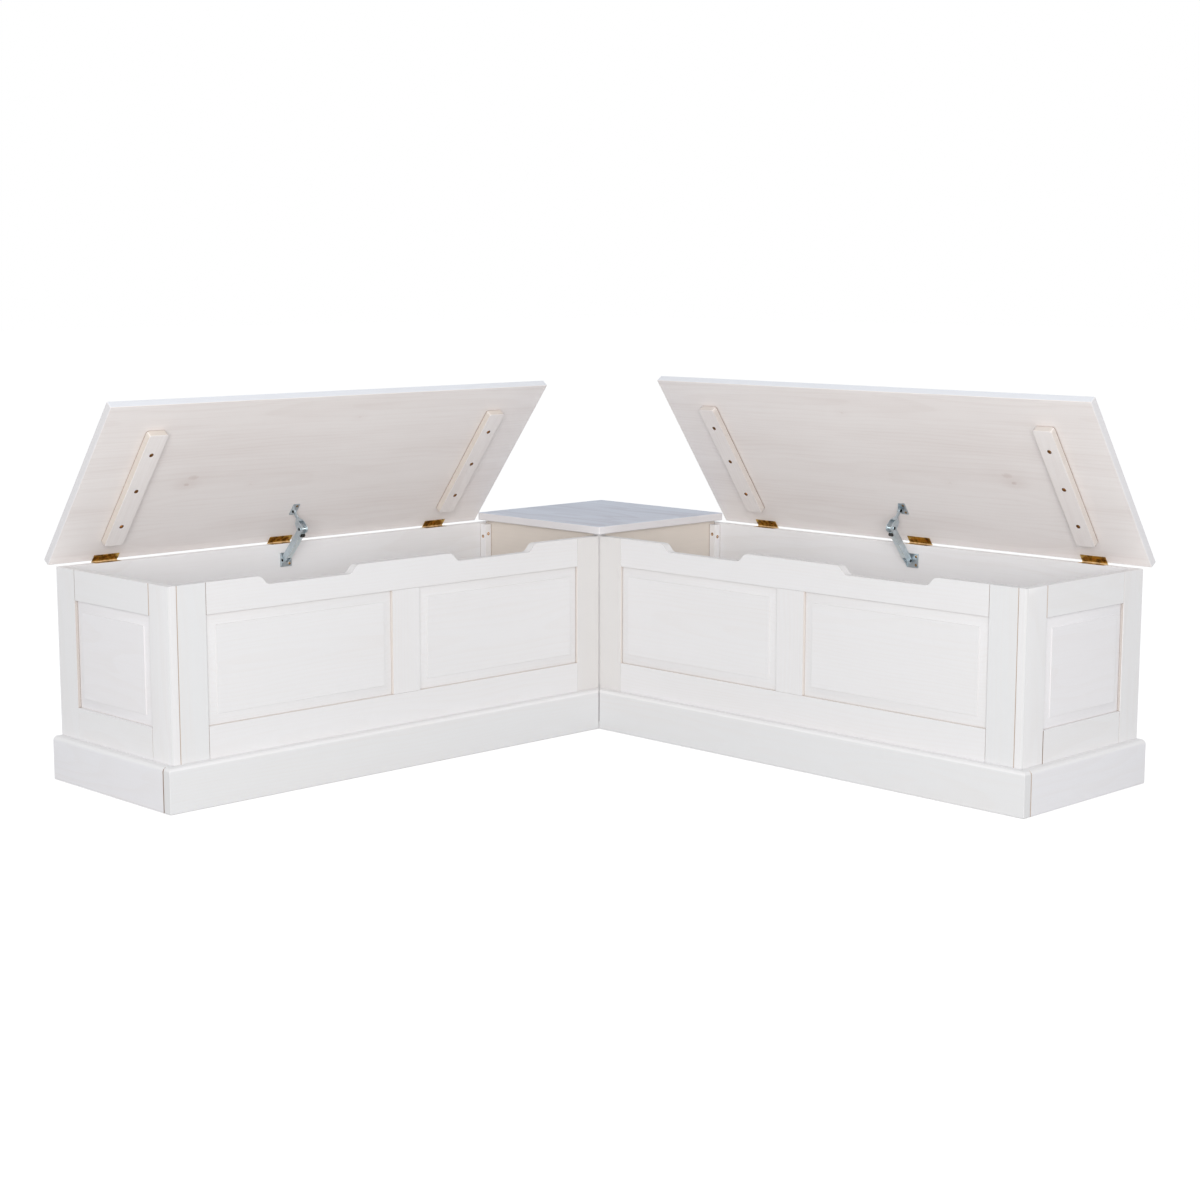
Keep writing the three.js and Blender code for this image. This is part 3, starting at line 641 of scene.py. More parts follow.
@dataclass(frozen=True)
class PlatedMetal(Finish):
    """Sheet metal with a thin bright plating that has dulled in clouds."""

    bright: Colour
    dull: Colour
    dulling: float
    roughness: float
    speckle: float = 0.12
    relief_depth: float = 0.00004
    relief_strength: float = 0.3

    def looks(self, desk: NodeDesk) -> dict[str, Value]:
        """Lays out the plating.

        Args:
            desk: The material's desk.

        Returns:
            The surface shader's inputs.
        """
        patina = PLATE_PATINA.place(desk, self, {"Place": desk.object_place()})
        return {
            "Base Color": patina["Color"],
            "Roughness": patina["Roughness"],
            "Metallic": 1.0,
            "Normal": desk.relief(patina["Height"], self.relief_depth, self.relief_strength),
        }


@dataclass(frozen=True)
class StopRubber(Finish):
    """Matt black moulded rubber with a fine pebbled skin."""

    tone: Colour
    worn: Colour
    roughness: float = 0.55
    relief_depth: float = 0.0001
    relief_strength: float = 0.4

    def looks(self, desk: NodeDesk) -> dict[str, Value]:
        """Lays out the pebbles and the wear.

        Args:
            desk: The material's desk.

        Returns:
            The surface shader's inputs.
        """
        place = desk.object_place()
        pebble = desk.noise(place, 2600.0, 2.0)
        wear = desk.ramp(desk.noise(place, 320.0, 3.0), 0.5, 0.75)
        return {
            "Base Color": desk.blend(wear, linear(self.tone), linear(self.worn)),
            "Roughness": desk.calc("MULTIPLY_ADD", pebble, 0.2, self.roughness),
            "Normal": desk.relief(pebble, self.relief_depth, self.relief_strength),
        }


def retoned(pine: WashedPine, name: str, wash: Colour, **changes: object) -> WashedPine:
    """Gives a pine like another one, with a wash and a name of its own, often painted shade or
    light.

    Args:
        pine: The pine to follow.
        name: What the new one's name has after the words that all share.
        wash: Its wash.
        changes: What else is different.

    Returns:
        The new pine.
    """
    return replace(pine, name=f"washed_pine_{name}", wash=wash, **changes)


FRONT_PINE = WashedPine(
    "washed_pine_front", (231, 230, 231), (222, 213, 207), seam_strength=0.34, washed_below=0.096
)
# Painted shade: the inner stiles are darker, for the shade in the inner corner.
INNER_STILE_SHADE_PINE = retoned(FRONT_PINE, "inner_stile", (225, 223, 222), seam_strength=0.25)
# Painted shade: the outer stiles are a little darker than the front, to tone down how brightly they
# are lit.
OUTER_STILE_SHADE_PINE = retoned(FRONT_PINE, "outer_stile", (226, 226, 227))
# Painted shade: the cheeks that face a panel are darker and warmer, for the shade in the recess.
CHEEK_SHADE_PINE = retoned(FRONT_PINE, "cheek", (224, 217, 211), seam_strength=0.25)
SEAM_PINE = retoned(FRONT_PINE, "seam", (188, 168, 152))
# Painted shade: the rounded arris of the end's front stile is darker, to tone down the highlight it
# catches.
ROUND_SHADE_PINE = retoned(FRONT_PINE, "round", (218, 218, 219), seam_strength=0.2)
END_PINE = retoned(FRONT_PINE, "end", (236, 235, 236))
END_PANEL_PINE = retoned(FRONT_PINE, "end_panel", (238, 236, 238))
# Painted shade: the end frame's cheeks, whose deep bare colour draws a dark painted shade line at
# the panel's edge.
END_CHEEK_SHADE_PINE = retoned(
    END_PINE, "end_cheek", (202, 194, 188), bare=(78, 60, 46), seam_reach=0.0025, seam_strength=0.95
)
PLINTH_PINE = retoned(
    FRONT_PINE,
    "plinth",
    (227, 227, 228),
    bare=(92, 72, 54),
    seam_reach=0.0016,
    seam_strength=0.95,
    washed_below=-1.0,
)
END_PLINTH_PINE = retoned(PLINTH_PINE, "end_plinth", (235, 234, 237))
# Painted light: the plinth's rounded top is paler, a painted highlight along it, and takes no
# crevice shade.
PLINTH_TOP_LIGHT_PINE = retoned(FRONT_PINE, "plinth_top", (237, 236, 237), washed_below=1.0)
# Painted light: the inside boards are brighter than the front, to lift the shade inside the box.
INSIDE_LIGHT_PINE = retoned(FRONT_PINE, "inside", (246, 245, 246), washed_below=-1.0)
# Painted shade: the partition is warmer and darker, for the shade and warm bounce light inside the
# corner box.
PARTITION_SHADE_PINE = retoned(INSIDE_LIGHT_PINE, "partition", (233, 224, 214))
# Painted light: the lid's edges are paler and bluer, for the cool light from above.
EDGE_PINE = retoned(FRONT_PINE, "edge", (238, 240, 246), figure_strength=0.05, washed_below=-1.0)
END_EDGE_PINE = retoned(EDGE_PINE, "end_edge", (232, 230, 232))
# Painted light: the lid's top takes the same paler, bluer tone as its edges.
LID_TOP_SKYLIGHT_PINE = retoned(
    EDGE_PINE, "lid_top", (240, 240, 244), cloud_strength=0.2, roughness=0.65, specular=0.1
)
LID_PINE = WashedPine(
    "washed_pine_lid",
    (245, 240, 238),
    (214, 200, 195),
    fibre_strength=0.09,
    cloud_strength=0.22,
    ring_pitch=0.0068,
    strip_width=0.142,
    roughness=0.46,
    seam_strength=0.26,
    knots=(
        Knot(0.9111, 0.1983, 0.0065, 0.60),
        Knot(0.8999, 0.2170, 0.0120, 0.42),
        Knot(0.7442, 0.1847, 0.0050, 0.20),
        Knot(0.5312, 0.3577, 0.0050, 0.30),
    ),
)
# Painted shade: the battens' sides and ends are darker and warmer, in one copy for each wing, as
# the light falls on them.
BATTEN_SIDE_SHADE = {
    Side.LEFT: retoned(LID_PINE, "left_batten_side", (225, 216, 207), knots=()),
    Side.RIGHT: retoned(LID_PINE, "right_batten_side", (223, 216, 210), knots=()),
}
# Painted light: the corner top is bluer and darker, for the cool dim light from above.
CORNER_TOP_SKYLIGHT_PINE = WashedPine(
    "washed_pine_corner_top",
    (220, 225, 237),
    (196, 196, 206),
    figure_strength=0.34,
    fibre_strength=0.18,
    cloud_strength=0.4,
    ring_pitch=0.0068,
    strip_width=0.142,
    roughness=0.6,
    specular=0.1,
)
BARE_PINE = WashedPine(
    "bare_pine",
    (128, 92, 60),
    (92, 60, 36),
    figure_strength=0.6,
    fibre_strength=0.4,
    cloud_strength=0.3,
    ring_pitch=0.005,
    strip_width=0.2,
    roughness=0.75,
)
HINGE_BRASS = PlatedMetal("hinge_brass", (224, 188, 104), (122, 92, 44), 0.85, 0.34, 0.6)
# Painted highlight: the knuckles are a much paler brass, for the light they catch.
KNUCKLE_BRASS_HIGHLIGHT = PlatedMetal("knuckle_brass", (252, 226, 178), (214, 178, 128), 0.7, 0.42, 0.5)
SCREW_BRASS = PlatedMetal("screw_brass", (214, 160, 84), (110, 70, 32), 0.6, 0.32)
STAY_ZINC = PlatedMetal("stay_zinc", (202, 213, 219), (184, 196, 202), 0.5, 0.36)
# Painted highlight: near-white zinc for the lower arm's faces that look forward, towards the light.
ZINC_HIGHLIGHT = PlatedMetal("bright_zinc", (244, 254, 255), (234, 248, 255), 0.5, 0.42)
RIVET_STEEL = PlatedMetal("rivet_steel", (26, 24, 24), (16, 15, 15), 0.6, 0.5)
PLATE_BRONZE = PlatedMetal("plate_bronze", (170, 142, 104), (104, 82, 56), 0.6, 0.36)
STOP_BLACK = StopRubber("stop_black", (24, 23, 22), (52, 50, 48))


def bounds_of(points: Sequence[Vector]) -> tuple[Vector, Vector]:
    """Gives the lowest and the highest corner of the box round some points."""
    low, high = (Vector([pick(values) for values in zip(*points)]) for pick in (min, max))
    return low, high


@dataclass(frozen=True)
class WingPlace:
    """The frame of one wing: along the wing, into its depth, and up."""

    side: Side
    corner: Vector
    lid_angle: float
    hinge_depth: float
    hinge_height: float
    joints: dict[str, Vector]

    def to_world(self) -> Matrix:
        """Gives the matrix from wing lengths to the row frame.

        Returns:
            The matrix.
        """
        right = Matrix.Identity(3)
        left = Matrix(((0, -1, 0), (-1, 0, 0), (0, 0, 1)))
        turn = right if self.side is Side.RIGHT else left
        return Matrix.Translation(self.corner) @ turn.to_4x4()

    def to_wing(self) -> Matrix:
        """Gives the matrix from the row frame to wing lengths."""
        return self.to_world().inverted()

    def lid_to_world(self) -> Matrix:
        """Gives the matrix from lid lengths to the row frame.

        Returns:
            The matrix, from lengths along the hinge, forward from it and off the lid's underside.
        """
        sine, cosine = math.sin(self.lid_angle), math.cos(self.lid_angle)
        turn = Matrix(((1, 0, 0), (0, -cosine, sine), (0, sine, cosine))).to_4x4()
        hinge = Matrix.Translation(Vector((0, self.hinge_depth, self.hinge_height)))
        return self.to_world() @ hinge @ turn

    def node(self, part: str) -> str:
        """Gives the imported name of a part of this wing, or the name of one of its bodies."""
        return f"{self.side.value}_{part}"

    def box(self, part: str) -> tuple[Vector, Vector]:
        """Gives the box of a part, in wing lengths.

        Args:
            part: The part's name within its wing.

        Returns:
            Its lowest and its highest corner.
        """
        to_wing = self.to_wing()
        return bounds_of([to_wing @ Vector(corner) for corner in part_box(self.node(part))])

    def joint(self, name: str) -> Vector:
        """Gives the place of one of this wing's joints in the row frame."""
        return self.joints[self.node(name)]


def linked(name: str, data: bpy.types.ID) -> Piece:
    """Puts a mesh, a lamp or a camera into the scene as an object at the origin.

    Args:
        name: The object's name.
        data: The mesh, the lamp or the camera.

    Returns:
        The object.
    """
    made = bpy.data.objects.new(name, data)
    bpy.context.scene.collection.objects.link(made)
    return made


def settled(piece: Piece) -> Piece:
    """Turns what an object's modifiers make into its own plain mesh.

    Args:
        piece: The object with its live modifiers.

    Returns:
        The same object, with no modifiers left.
    """
    bpy.context.view_layer.update()
    graph = bpy.context.evaluated_depsgraph_get()
    mesh = bpy.data.meshes.new_from_object(
        piece.evaluated_get(graph), preserve_all_data_layers=True, depsgraph=graph
    )
    piece.modifiers.clear()
    piece.data = mesh
    return piece


def packed_copy(node: str) -> Piece:
    """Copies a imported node, welds its loose triangles and clears its flat faces.

    Args:
        node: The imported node's name.

    Returns:
        A new object with the node's shape.
    """
    mesh = bpy.data.objects[node].data.copy()
    mesh.materials.clear()
    if "custom_normal" in mesh.attributes:
        mesh.attributes.remove(mesh.attributes["custom_normal"])
    shape = bmesh.new()
    shape.from_mesh(mesh)
    bmesh.ops.remove_doubles(shape, verts=shape.verts, dist=WELD)
    bmesh.ops.dissolve_limit(
        shape,
        angle_limit=FLAT_ANGLE,
        use_dissolve_boundaries=False,
        verts=shape.verts,
        edges=shape.edges,
    )
    shape.to_mesh(mesh)
    shape.free()
    return linked(f"{node}_dressed", mesh)


def cut(piece: Piece, shape: bmesh.types.BMesh, operation: str) -> None:
    """Cuts a piece with a closed shape, and frees the shape.

    Args:
        piece: The piece.
        shape: The shape, in the row frame.
        operation: INTERSECT keeps what is inside the shape, and DIFFERENCE what is outside.
    """
    mesh = bpy.data.meshes.new("cutter")
    shape.to_mesh(mesh)
    shape.free()
    cutter = linked("cutter", mesh)
    modifier = piece.modifiers.new("cut", "BOOLEAN")
    modifier.operation = operation
    modifier.solver = "EXACT"
    modifier.object = cutter
    settled(piece)
    bpy.data.objects.remove(cutter)


def ease_edges(piece: Piece, width: float, segments: int = 2) -> Piece:
    """Rounds the sharp edges of a piece and smooths its curved faces.

    Args:
        piece: The object to ease.
        width: The width of the rounding, in metres.
        segments: How many facets each rounding has.

    Returns:
        The same object.
    """
    for polygon in piece.data.polygons:
        polygon.use_smooth = True
    piece.data.set_sharp_from_angle(angle=SMOOTH_ANGLE)
    bevel = piece.modifiers.new("eased", "BEVEL")
    bevel.width = width
    bevel.segments = segments
    bevel.limit_method = "ANGLE"
    bevel.angle_limit = EASE_ANGLE
    bevel.harden_normals = True
    return settled(piece)


def mark_timber(piece: Piece, to_board: Matrix, grain: Grain, shift: Sequence[float]) -> None:
    """Stores for each point where it lies in the timber: along the grain, across it, and deep.

    Args:
        piece: The board.
        to_board: The matrix from the row frame to the board's own directions.
        grain: Which of those directions is grain, width and thickness.
        shift: A shift that gives the board a part of the tree of its own.
    """
    layer = piece.data.attributes.new("timber", "FLOAT_VECTOR", "POINT")
    values: list[float] = []
    for vertex in piece.data.vertices:
        local = to_board @ vertex.co
        values += [local[axis] + shift[row] for row, axis in enumerate(grain.value)]
    layer.data.foreach_set("vector", values)


def paint_faces(piece: Piece, to_board: Matrix, index: int, chosen: Chosen) -> None:
    """Gives the faces that look a chosen way another of the piece's finishes.

    Args:
        piece: The board.
        to_board: The matrix from the row frame to the board's own directions.
        index: The finish's place in the piece's list.
        chosen: Says of a face's outward direction, in the board's frame, whether it is painted.
    """
    turn = to_board.to_3x3()
    for polygon in piece.data.polygons:
        if chosen(turn @ polygon.normal):
            polygon.material_index = index


def dress(
    piece: Piece, body: str, finishes: Sequence[Finish], nodes: Sequence[str]
) -> None:
    """Gives a finished piece its materials, its body and its place in the record.

    Args:
        piece: The finished piece.
        body: The body that it rides on.
        finishes: Its finishes, in the order of its faces' indices.
        nodes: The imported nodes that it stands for.
    """
    order = [min(polygon.material_index, len(finishes) - 1) for polygon in piece.data.polygons]
    piece.data.materials.clear()
    for finish in finishes:
        piece.data.materials.append(finish.material())
    piece.data.polygons.foreach_set("material_index", order)
    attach(piece, body)
    if nodes:
        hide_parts(*nodes)
    LOG.info("%s rides on %s with %d faces", piece.name, body, len(piece.data.polygons))


@dataclass
class Timberyard:
    """Hands out a part of the tree to each board, in a fixed order."""

    dice: random.Random = field(default_factory=lambda: random.Random(41))
    count: int = 0
    most_aside: float = 0.06
    most_below: float = 0.02

    def shift(self) -> Vector:
        """Gives the next board's shift in the timber.

        Returns:
            How far it lies along the tree, aside and below.
        """
        self.count += 1
        aside = self.dice.uniform(-self.most_aside, self.most_aside)
        return Vector((BOARD_SPACING * self.count, aside, self.dice.uniform(0.0, self.most_below)))


@dataclass
class Joinery:
    """Work on the washed boards of the carcass, in the frame of one wing."""

    place: WingPlace
    yard: Timberyard

    def mark(self, piece: Piece, grain: Grain) -> Piece:
        """Gives a board its own part of the tree, and hands the board back."""
        mark_timber(piece, self.place.to_wing(), grain, self.yard.shift())
        return piece

    def board(self, node: str, grain: Grain, ease: float, segments: int = 2) -> Piece:
        """Copies a board, eases its edges and gives it its part of the tree.

        Args:
            node: The board's packed name.
            grain: The way its grain runs.
            ease: The width of its eased edges.
            segments: How many facets each eased edge has.

        Returns:
            The board.
        """
        return self.mark(ease_edges(packed_copy(node), ease, segments), grain)

    def paint(self, piece: Piece, index: int, chosen: Chosen) -> None:
        """Gives the faces that look a chosen way in the wing another of the piece's finishes."""
        paint_faces(piece, self.place.to_wing(), index, chosen)

    def fit(self, piece: Piece, finishes: Sequence[Finish], node: str) -> None:
        """Dresses a board of the carcass."""
        dress(piece, "carcass", finishes, [node])


@dataclass
class PanelledFront(Joinery):
    """The framed and panelled front of one wing."""

    frame_ease: float = 0.0011
    panel_ease: float = 0.0005

    def build(self) -> None:
        """Dresses the stiles, the rails and the raised panels."""
        # The stiles take tones with painted shade in them.
        stile_shades = {"front_inner_stile": INNER_STILE_SHADE_PINE, "front_outer_stile": OUTER_STILE_SHADE_PINE}
        for part in ("front_inner_stile", "front_outer_stile", "front_muntin"):
            piece = self.board(self.place.node(part), Grain.UPRIGHT_FRONT, self.frame_ease)
            # The stiles' cheeks that face the panels take painted shade.
            self.paint(piece, 1, lambda way: abs(way.x) > SQUARE)
            if part == "front_outer_stile":
                self.paint(piece, 3, lambda way: way.x > LEANING and way.y < -LEANING)
            self.finish(part, piece, stile_shades.get(part, FRONT_PINE))
        for part, inwards in (("front_top_rail", -1.0), ("front_bottom_rail", 1.0)):
            piece = self.board(self.place.node(part), Grain.ALONG_FRONT, self.frame_ease)
            # The rail faces that look towards the panels take painted shade.
            self.paint(piece, 1, lambda way: way.z * inwards > SQUARE)
            self.paint(piece, 2, lambda way: abs(way.x) > LEANING and way.y < -LEANING)
            self.finish(part, piece, FRONT_PINE)
        for part in ("front_inner_panel", "front_outer_panel"):
            piece = self.board(self.place.node(part), Grain.ALONG_FRONT, self.panel_ease)
            self.finish(part, piece, FRONT_PINE)

    def finish(self, part: str, piece: Piece, wash: WashedPine) -> None:
        """Dresses a timber with its wash, cheeks in painted shade, bare arrises and washed seams.
        """
        self.fit(piece, (wash, CHEEK_SHADE_PINE, BARE_PINE, SEAM_PINE), self.place.node(part))


@dataclass
class ChestEnd(Joinery):
    """The framed end of one wing, parted into its stiles and rails, and its raised panel."""

    stile_width: float = 0.067
    joint_gap: float = 0.0004
    loose: float = 0.01
    frame_ease: float = 0.0011
    corner_round: float = 0.0045
    corner_facets: int = 6
    panel_ease: float = 0.0005

    def round_corner(self, piece: Piece, place: Vector) -> None:
        """Rounds one upright arris.

        Args:
            piece: The stile.
            place: Where the arris stands in plan, in the row frame.
        """
        shape = bmesh.new()
        shape.from_mesh(piece.data)
        near = [
            edge
            for edge in shape.edges
            if all((vertex.co - place).xy.length < self.joint_gap for vertex in edge.verts)
        ]
        bmesh.ops.bevel(
            shape,
            geom=near,
            offset=self.corner_round,
            segments=self.corner_facets,
            profile=0.5,
            affect="EDGES",
        )
        shape.to_mesh(piece.data)
        shape.free()

    def sawn(self, name: str, low: Vector, high: Vector) -> Piece:
        """Saws one timber out of a copy of the end frame.

        Args:
            name: The timber's name.
            low: The lowest corner of the box that holds the timber, in wing lengths.
            high: Its highest corner.

        Returns:
            The timber.
        """
        piece = packed_copy(self.place.node("end_frame"))
        piece.name = name
        shape = bmesh.new()
        bmesh.ops.create_cube(shape, size=1.0)
        grow = Matrix.Translation((low + high) / 2) @ Matrix.Diagonal((*(high - low), 1.0))
        bmesh.ops.transform(shape, matrix=self.place.to_world() @ grow, verts=shape.verts)
        bmesh.ops.recalc_face_normals(shape, faces=shape.faces)
        cut(piece, shape, "INTERSECT")
        return piece

    def build(self) -> None:
        """Dresses the four timbers of the end frame and its panel."""
        low, high = self.place.box("end_frame")
        gap = self.joint_gap / 2
        front, back = low.y + self.stile_width, high.y - self.stile_width
        bottom, middle, top = low.z - self.loose, (low.z + high.z) / 2, high.z + self.loose
        spans = {
            "front_stile": (low.y - self.loose, front - gap, bottom, top),
            "back_stile": (back + gap, high.y + self.loose, bottom, top),
            "low_rail": (front + gap, back - gap, bottom, middle),
            "high_rail": (front + gap, back - gap, middle, top),
        }
        pines = (END_PINE, END_CHEEK_SHADE_PINE, BARE_PINE, FRONT_PINE, ROUND_SHADE_PINE, SEAM_PINE)
        for part, (near, far, below, above) in spans.items():
            least = Vector((low.x - self.loose, near, below))
            most = Vector((high.x + self.loose, far, above))
            piece = self.sawn(self.place.node(f"end_{part}"), least, most)
            if part == "front_stile":
                arris = Vector((high.x, low.y, 0.0))
                self.round_corner(piece, self.place.to_world() @ arris)
            ease_edges(piece, self.frame_ease)
            self.mark(piece, Grain.UPRIGHT_END if part.endswith("stile") else Grain.DEEP_END)
            if part == "front_stile":
                # The stile's cheek that faces the panel takes painted shade.
                self.paint(piece, 1, lambda way: way.y > SQUARE)
                # The rounded front arris takes painted shade.
                self.paint(piece, 4, lambda way: way.x > SLIGHTLY and way.y < -SLIGHTLY)
                self.paint(piece, 3, lambda way: way.y < -SQUARE_FRONT)
            elif part == "back_stile":
                # The back stile's cheek takes painted shade.
                self.paint(piece, 1, lambda way: way.y < -SQUARE)
            else:
                joint = 5 if part == "high_rail" else 2
                self.paint(piece, joint, lambda way: abs(way.y) > LEANING and way.x > LEANING)
            self.fit(piece, pines, self.place.node("end_frame"))
        node = self.place.node("end_panel")
        panel = self.board(node, Grain.DEEP_END, self.panel_ease)
        self.fit(panel, (END_PANEL_PINE,), node)


@dataclass
class ChestShell(Joinery):
    """The back, floor, partition, cleat and plinth of one wing."""

    board_ease: float = 0.0009

    def build(self) -> None:
        """Dresses the boards of the shell."""
        jobs = (
            ("back_panel", Grain.ALONG_FRONT, INSIDE_LIGHT_PINE),
            ("floor_board", Grain.FLAT_ALONG, INSIDE_LIGHT_PINE),
            ("partition", Grain.DEEP_END, PARTITION_SHADE_PINE),
            ("corner_cleat", Grain.UPRIGHT_FRONT, INSIDE_LIGHT_PINE),
            ("front_plinth", Grain.ALONG_FRONT, PLINTH_PINE),
            ("end_plinth", Grain.DEEP_END, END_PLINTH_PINE),
        )
        for part, grain, wash in jobs:
            node = self.place.node(part)
            piece = self.board(node, grain, self.board_ease)
            joint = BARE_PINE
            if part.endswith("plinth"):
                meets = 1.0 if part == "front_plinth" else -1.0
                # The plinth's top takes a painted highlight.
                self.paint(piece, 1, lambda way: way.z > ROUND_TOP)
                self.paint(piece, 2, lambda way: way.x > LEANING and way.y * meets > LEANING)
                joint = SEAM_PINE if self.place.side is Side.RIGHT else BARE_PINE
            if part == "corner_cleat":
                self.paint(piece, 2, lambda way: way.x < -LEANING and way.y < -LEANING)
            self.fit(piece, (wash, PLINTH_TOP_LIGHT_PINE, joint), node)


@dataclass
class SquareCorner(Joinery):
    """The fixed square corner between the wings."""

    top_ease: float = 0.0022
    top_facets: int = 3
    post_ease: float = 0.0006

    def build(self) -> None:
        """Dresses the corner's top board and its post."""
        top = self.board("corner_top", Grain.FLAT_ALONG, self.top_ease, self.top_facets)
        self.paint(top, 1, lambda way: way.z < HALF)
        # The corner top carries painted cool light from above in its tone.
        dress(top, "carcass", (CORNER_TOP_SKYLIGHT_PINE, END_EDGE_PINE), ["corner_top"])
        post = self.board("corner_post", Grain.UPRIGHT_FRONT, self.post_ease)
        self.fit(post, (FRONT_PINE,), "corner_post")


@dataclass(frozen=True)
class Fastener:
    """A kind of screw or rivet, with the lengths of its head in metres."""

    slot: Slot
    finish: PlatedMetal
    head_radius: float
    neck_radius: float
    head_depth: float
    head_rise: float
    crossed: bool = True
    sides: int = 20


CLEAT_SCREW = Fastener(Slot.BRASS, SCREW_BRASS, 0.0038, 0.0018, 0.0026, 0.0005)
BATTEN_SCREW = Fastener(Slot.BRASS, SCREW_BRASS, 0.0037, 0.0018, 0.0028, 0.0003)
LEAF_SCREW = Fastener(Slot.BRASS, SCREW_BRASS, 0.003, 0.0019, 0.0011, 0.0)
PLATE_SCREW = Fastener(Slot.ZINC, PLATE_BRONZE, 0.0032, 0.003, 0.0005, 0.0012)
RIVET = Fastener(Slot.ZINC, RIVET_STEEL, 0.0035, 0.0035, 0.0004, 0.0008, crossed=False)


@dataclass
class FastenerRow:
    """The fasteners of one kind on one body."""

    name: str
    body: str
    kind: Fastener
    places: list[tuple[Vector, Vector]] = field(default_factory=list)

    def add(self, place: Vector, facing: Vector) -> None:
        """Adds one fastener with the top edge of its head at a place, facing outwards."""
        self.places.append((place, facing.normalized()))

    def host(self) -> Piece:
        """Makes the loose points that carry the heads, with the way each faces and is turned.

        Returns:
            The points as an object.
        """
        mesh = bpy.data.meshes.new(self.name)
        mesh.from_pydata([place for place, _ in self.places], [], [])
        facing = mesh.attributes.new("facing", "FLOAT_VECTOR", "POINT")
        facing.data.foreach_set("vector", [value for _, normal in self.places for value in normal])
        dice = random.Random(len(self.name))
        turn = mesh.attributes.new("turn", "FLOAT", "POINT")
        turn.data.foreach_set("value", [dice.uniform(0, math.pi) for _ in self.places])
        return linked(self.name, mesh)

    def build(self) -> None:
        """Makes the fasteners as one plain mesh and dresses it."""
        piece, kind = self.host(), self.kind
        modifier = piece.modifiers.new("heads", "NODES")
        modifier.node_group = HEADS[kind.crossed].tree()
        wanted = HEADS[kind.crossed].values_of(kind) | {"Finish": kind.finish.material()}
        for item in modifier.node_group.interface.items_tree:
            if item.in_out == "INPUT" and item.name in wanted:
                modifier[item.identifier] = wanted[item.name]
        settled(piece)
        dress(piece, self.body, (kind.finish,), [])


@dataclass
class LidBoard:
    """The lid of one wing with its two battens."""

    place: WingPlace
    yard: Timberyard
    board_ease: float = 0.0018
    board_facets: int = 3
    batten_ease: float = 0.0015
    bore_radius: float = 0.0048
    bore_depth: float = 0.006
    bore_sides: int = 24
    wall_reach: float = 1.02
    wall_start: float = 0.0001
    screw_sink: float = 0.0022
    screw_forward: tuple[float, ...] = (0.1095, 0.2055, 0.302)

    def bore(self, piece: Piece, spots: Sequence[Vector], outwards: Vector) -> None:
        """Sinks screw bores into a batten and paints their walls bare.

        Args:
            piece: The batten.
            spots: The middle of each bore on the batten's face, in the row frame.
            outwards: The way the face looks.
        """
        shape = bmesh.new()
        aim = outwards.to_track_quat("Z", "Y").to_matrix().to_4x4()
        for spot in spots:
            bmesh.ops.create_cone(
                shape,
                cap_ends=True,
                segments=self.bore_sides,
                radius1=self.bore_radius,
                radius2=self.bore_radius,
                depth=2 * self.bore_depth,
                matrix=Matrix.Translation(spot) @ aim,
            )
        cut(piece, shape, "DIFFERENCE")
        reach = self.bore_radius * self.wall_reach
        for polygon in piece.data.polygons:
            for spot in spots:
                offset = polygon.center - spot
                height = offset.dot(outwards)
                near = offset.length < 2 * self.bore_depth
                inside = near and (offset - outwards * height).length < reach
                if inside and height < -self.wall_start:
                    polygon.material_index = 1
                    polygon.use_smooth = False

    def build(self, screws: FastenerRow) -> None:
        """Dresses the lid board and its battens, and notes where the batten screws go.

        Args:
            screws: The row that takes the batten screws.
        """
        to_world = self.place.lid_to_world()
        to_lid = to_world.inverted()
        body = self.place.node("lid")
        node = self.place.node("lid_board")
        board = ease_edges(packed_copy(node), self.board_ease, self.board_facets)
        mark_timber(board, to_lid, Grain.FLAT_ALONG, (0.0, 0.0, 0.0))
        # The edges and the top take painted cool light from above; the ends take a tone of their
        # own.
        paint_faces(board, to_lid, 1, lambda way: way.z > -HALF)
        paint_faces(board, to_lid, 2, lambda way: abs(way.x) > HALF)
        paint_faces(board, to_lid, 3, lambda way: way.z > LEVEL)
        pines = (LID_PINE, EDGE_PINE, END_EDGE_PINE, LID_TOP_SKYLIGHT_PINE)
        dress(board, body, pines, [node])
        # The batten's foot line is a dark joint and partly painted shade, paler on the left wing.
        joint = SEAM_PINE if self.place.side is Side.LEFT else BARE_PINE
        pines = (LID_PINE, BARE_PINE, BATTEN_SIDE_SHADE[self.place.side], joint)
        outwards = (to_world.to_3x3() @ Vector((0, 0, -1))).normalized()
        for part in ("lid_inner_batten", "lid_outer_batten"):
            node = self.place.node(part)
            piece = ease_edges(packed_copy(node), self.batten_ease)
            low, high = bounds_of([to_lid @ vertex.co for vertex in piece.data.vertices])
            middle = (low.x + high.x) / 2
            spots = [to_world @ Vector((middle, ahead, low.z)) for ahead in self.screw_forward]
            # The batten's sides and ends take painted shade.
            paint_faces(piece, to_lid, 2, lambda way: max(abs(way.x), abs(way.y)) > STEEP)
            paint_faces(piece, to_lid, 3, lambda way: abs(way.x) > LEANING and way.z > LEANING)
            self.bore(piece, spots, outwards)
            for spot in spots:
                screws.add(spot - outwards * self.screw_sink, outwards)
            mark_timber(piece, to_lid, Grain.FLAT_DEEP, self.yard.shift())
            dress(piece, body, pines, [node])


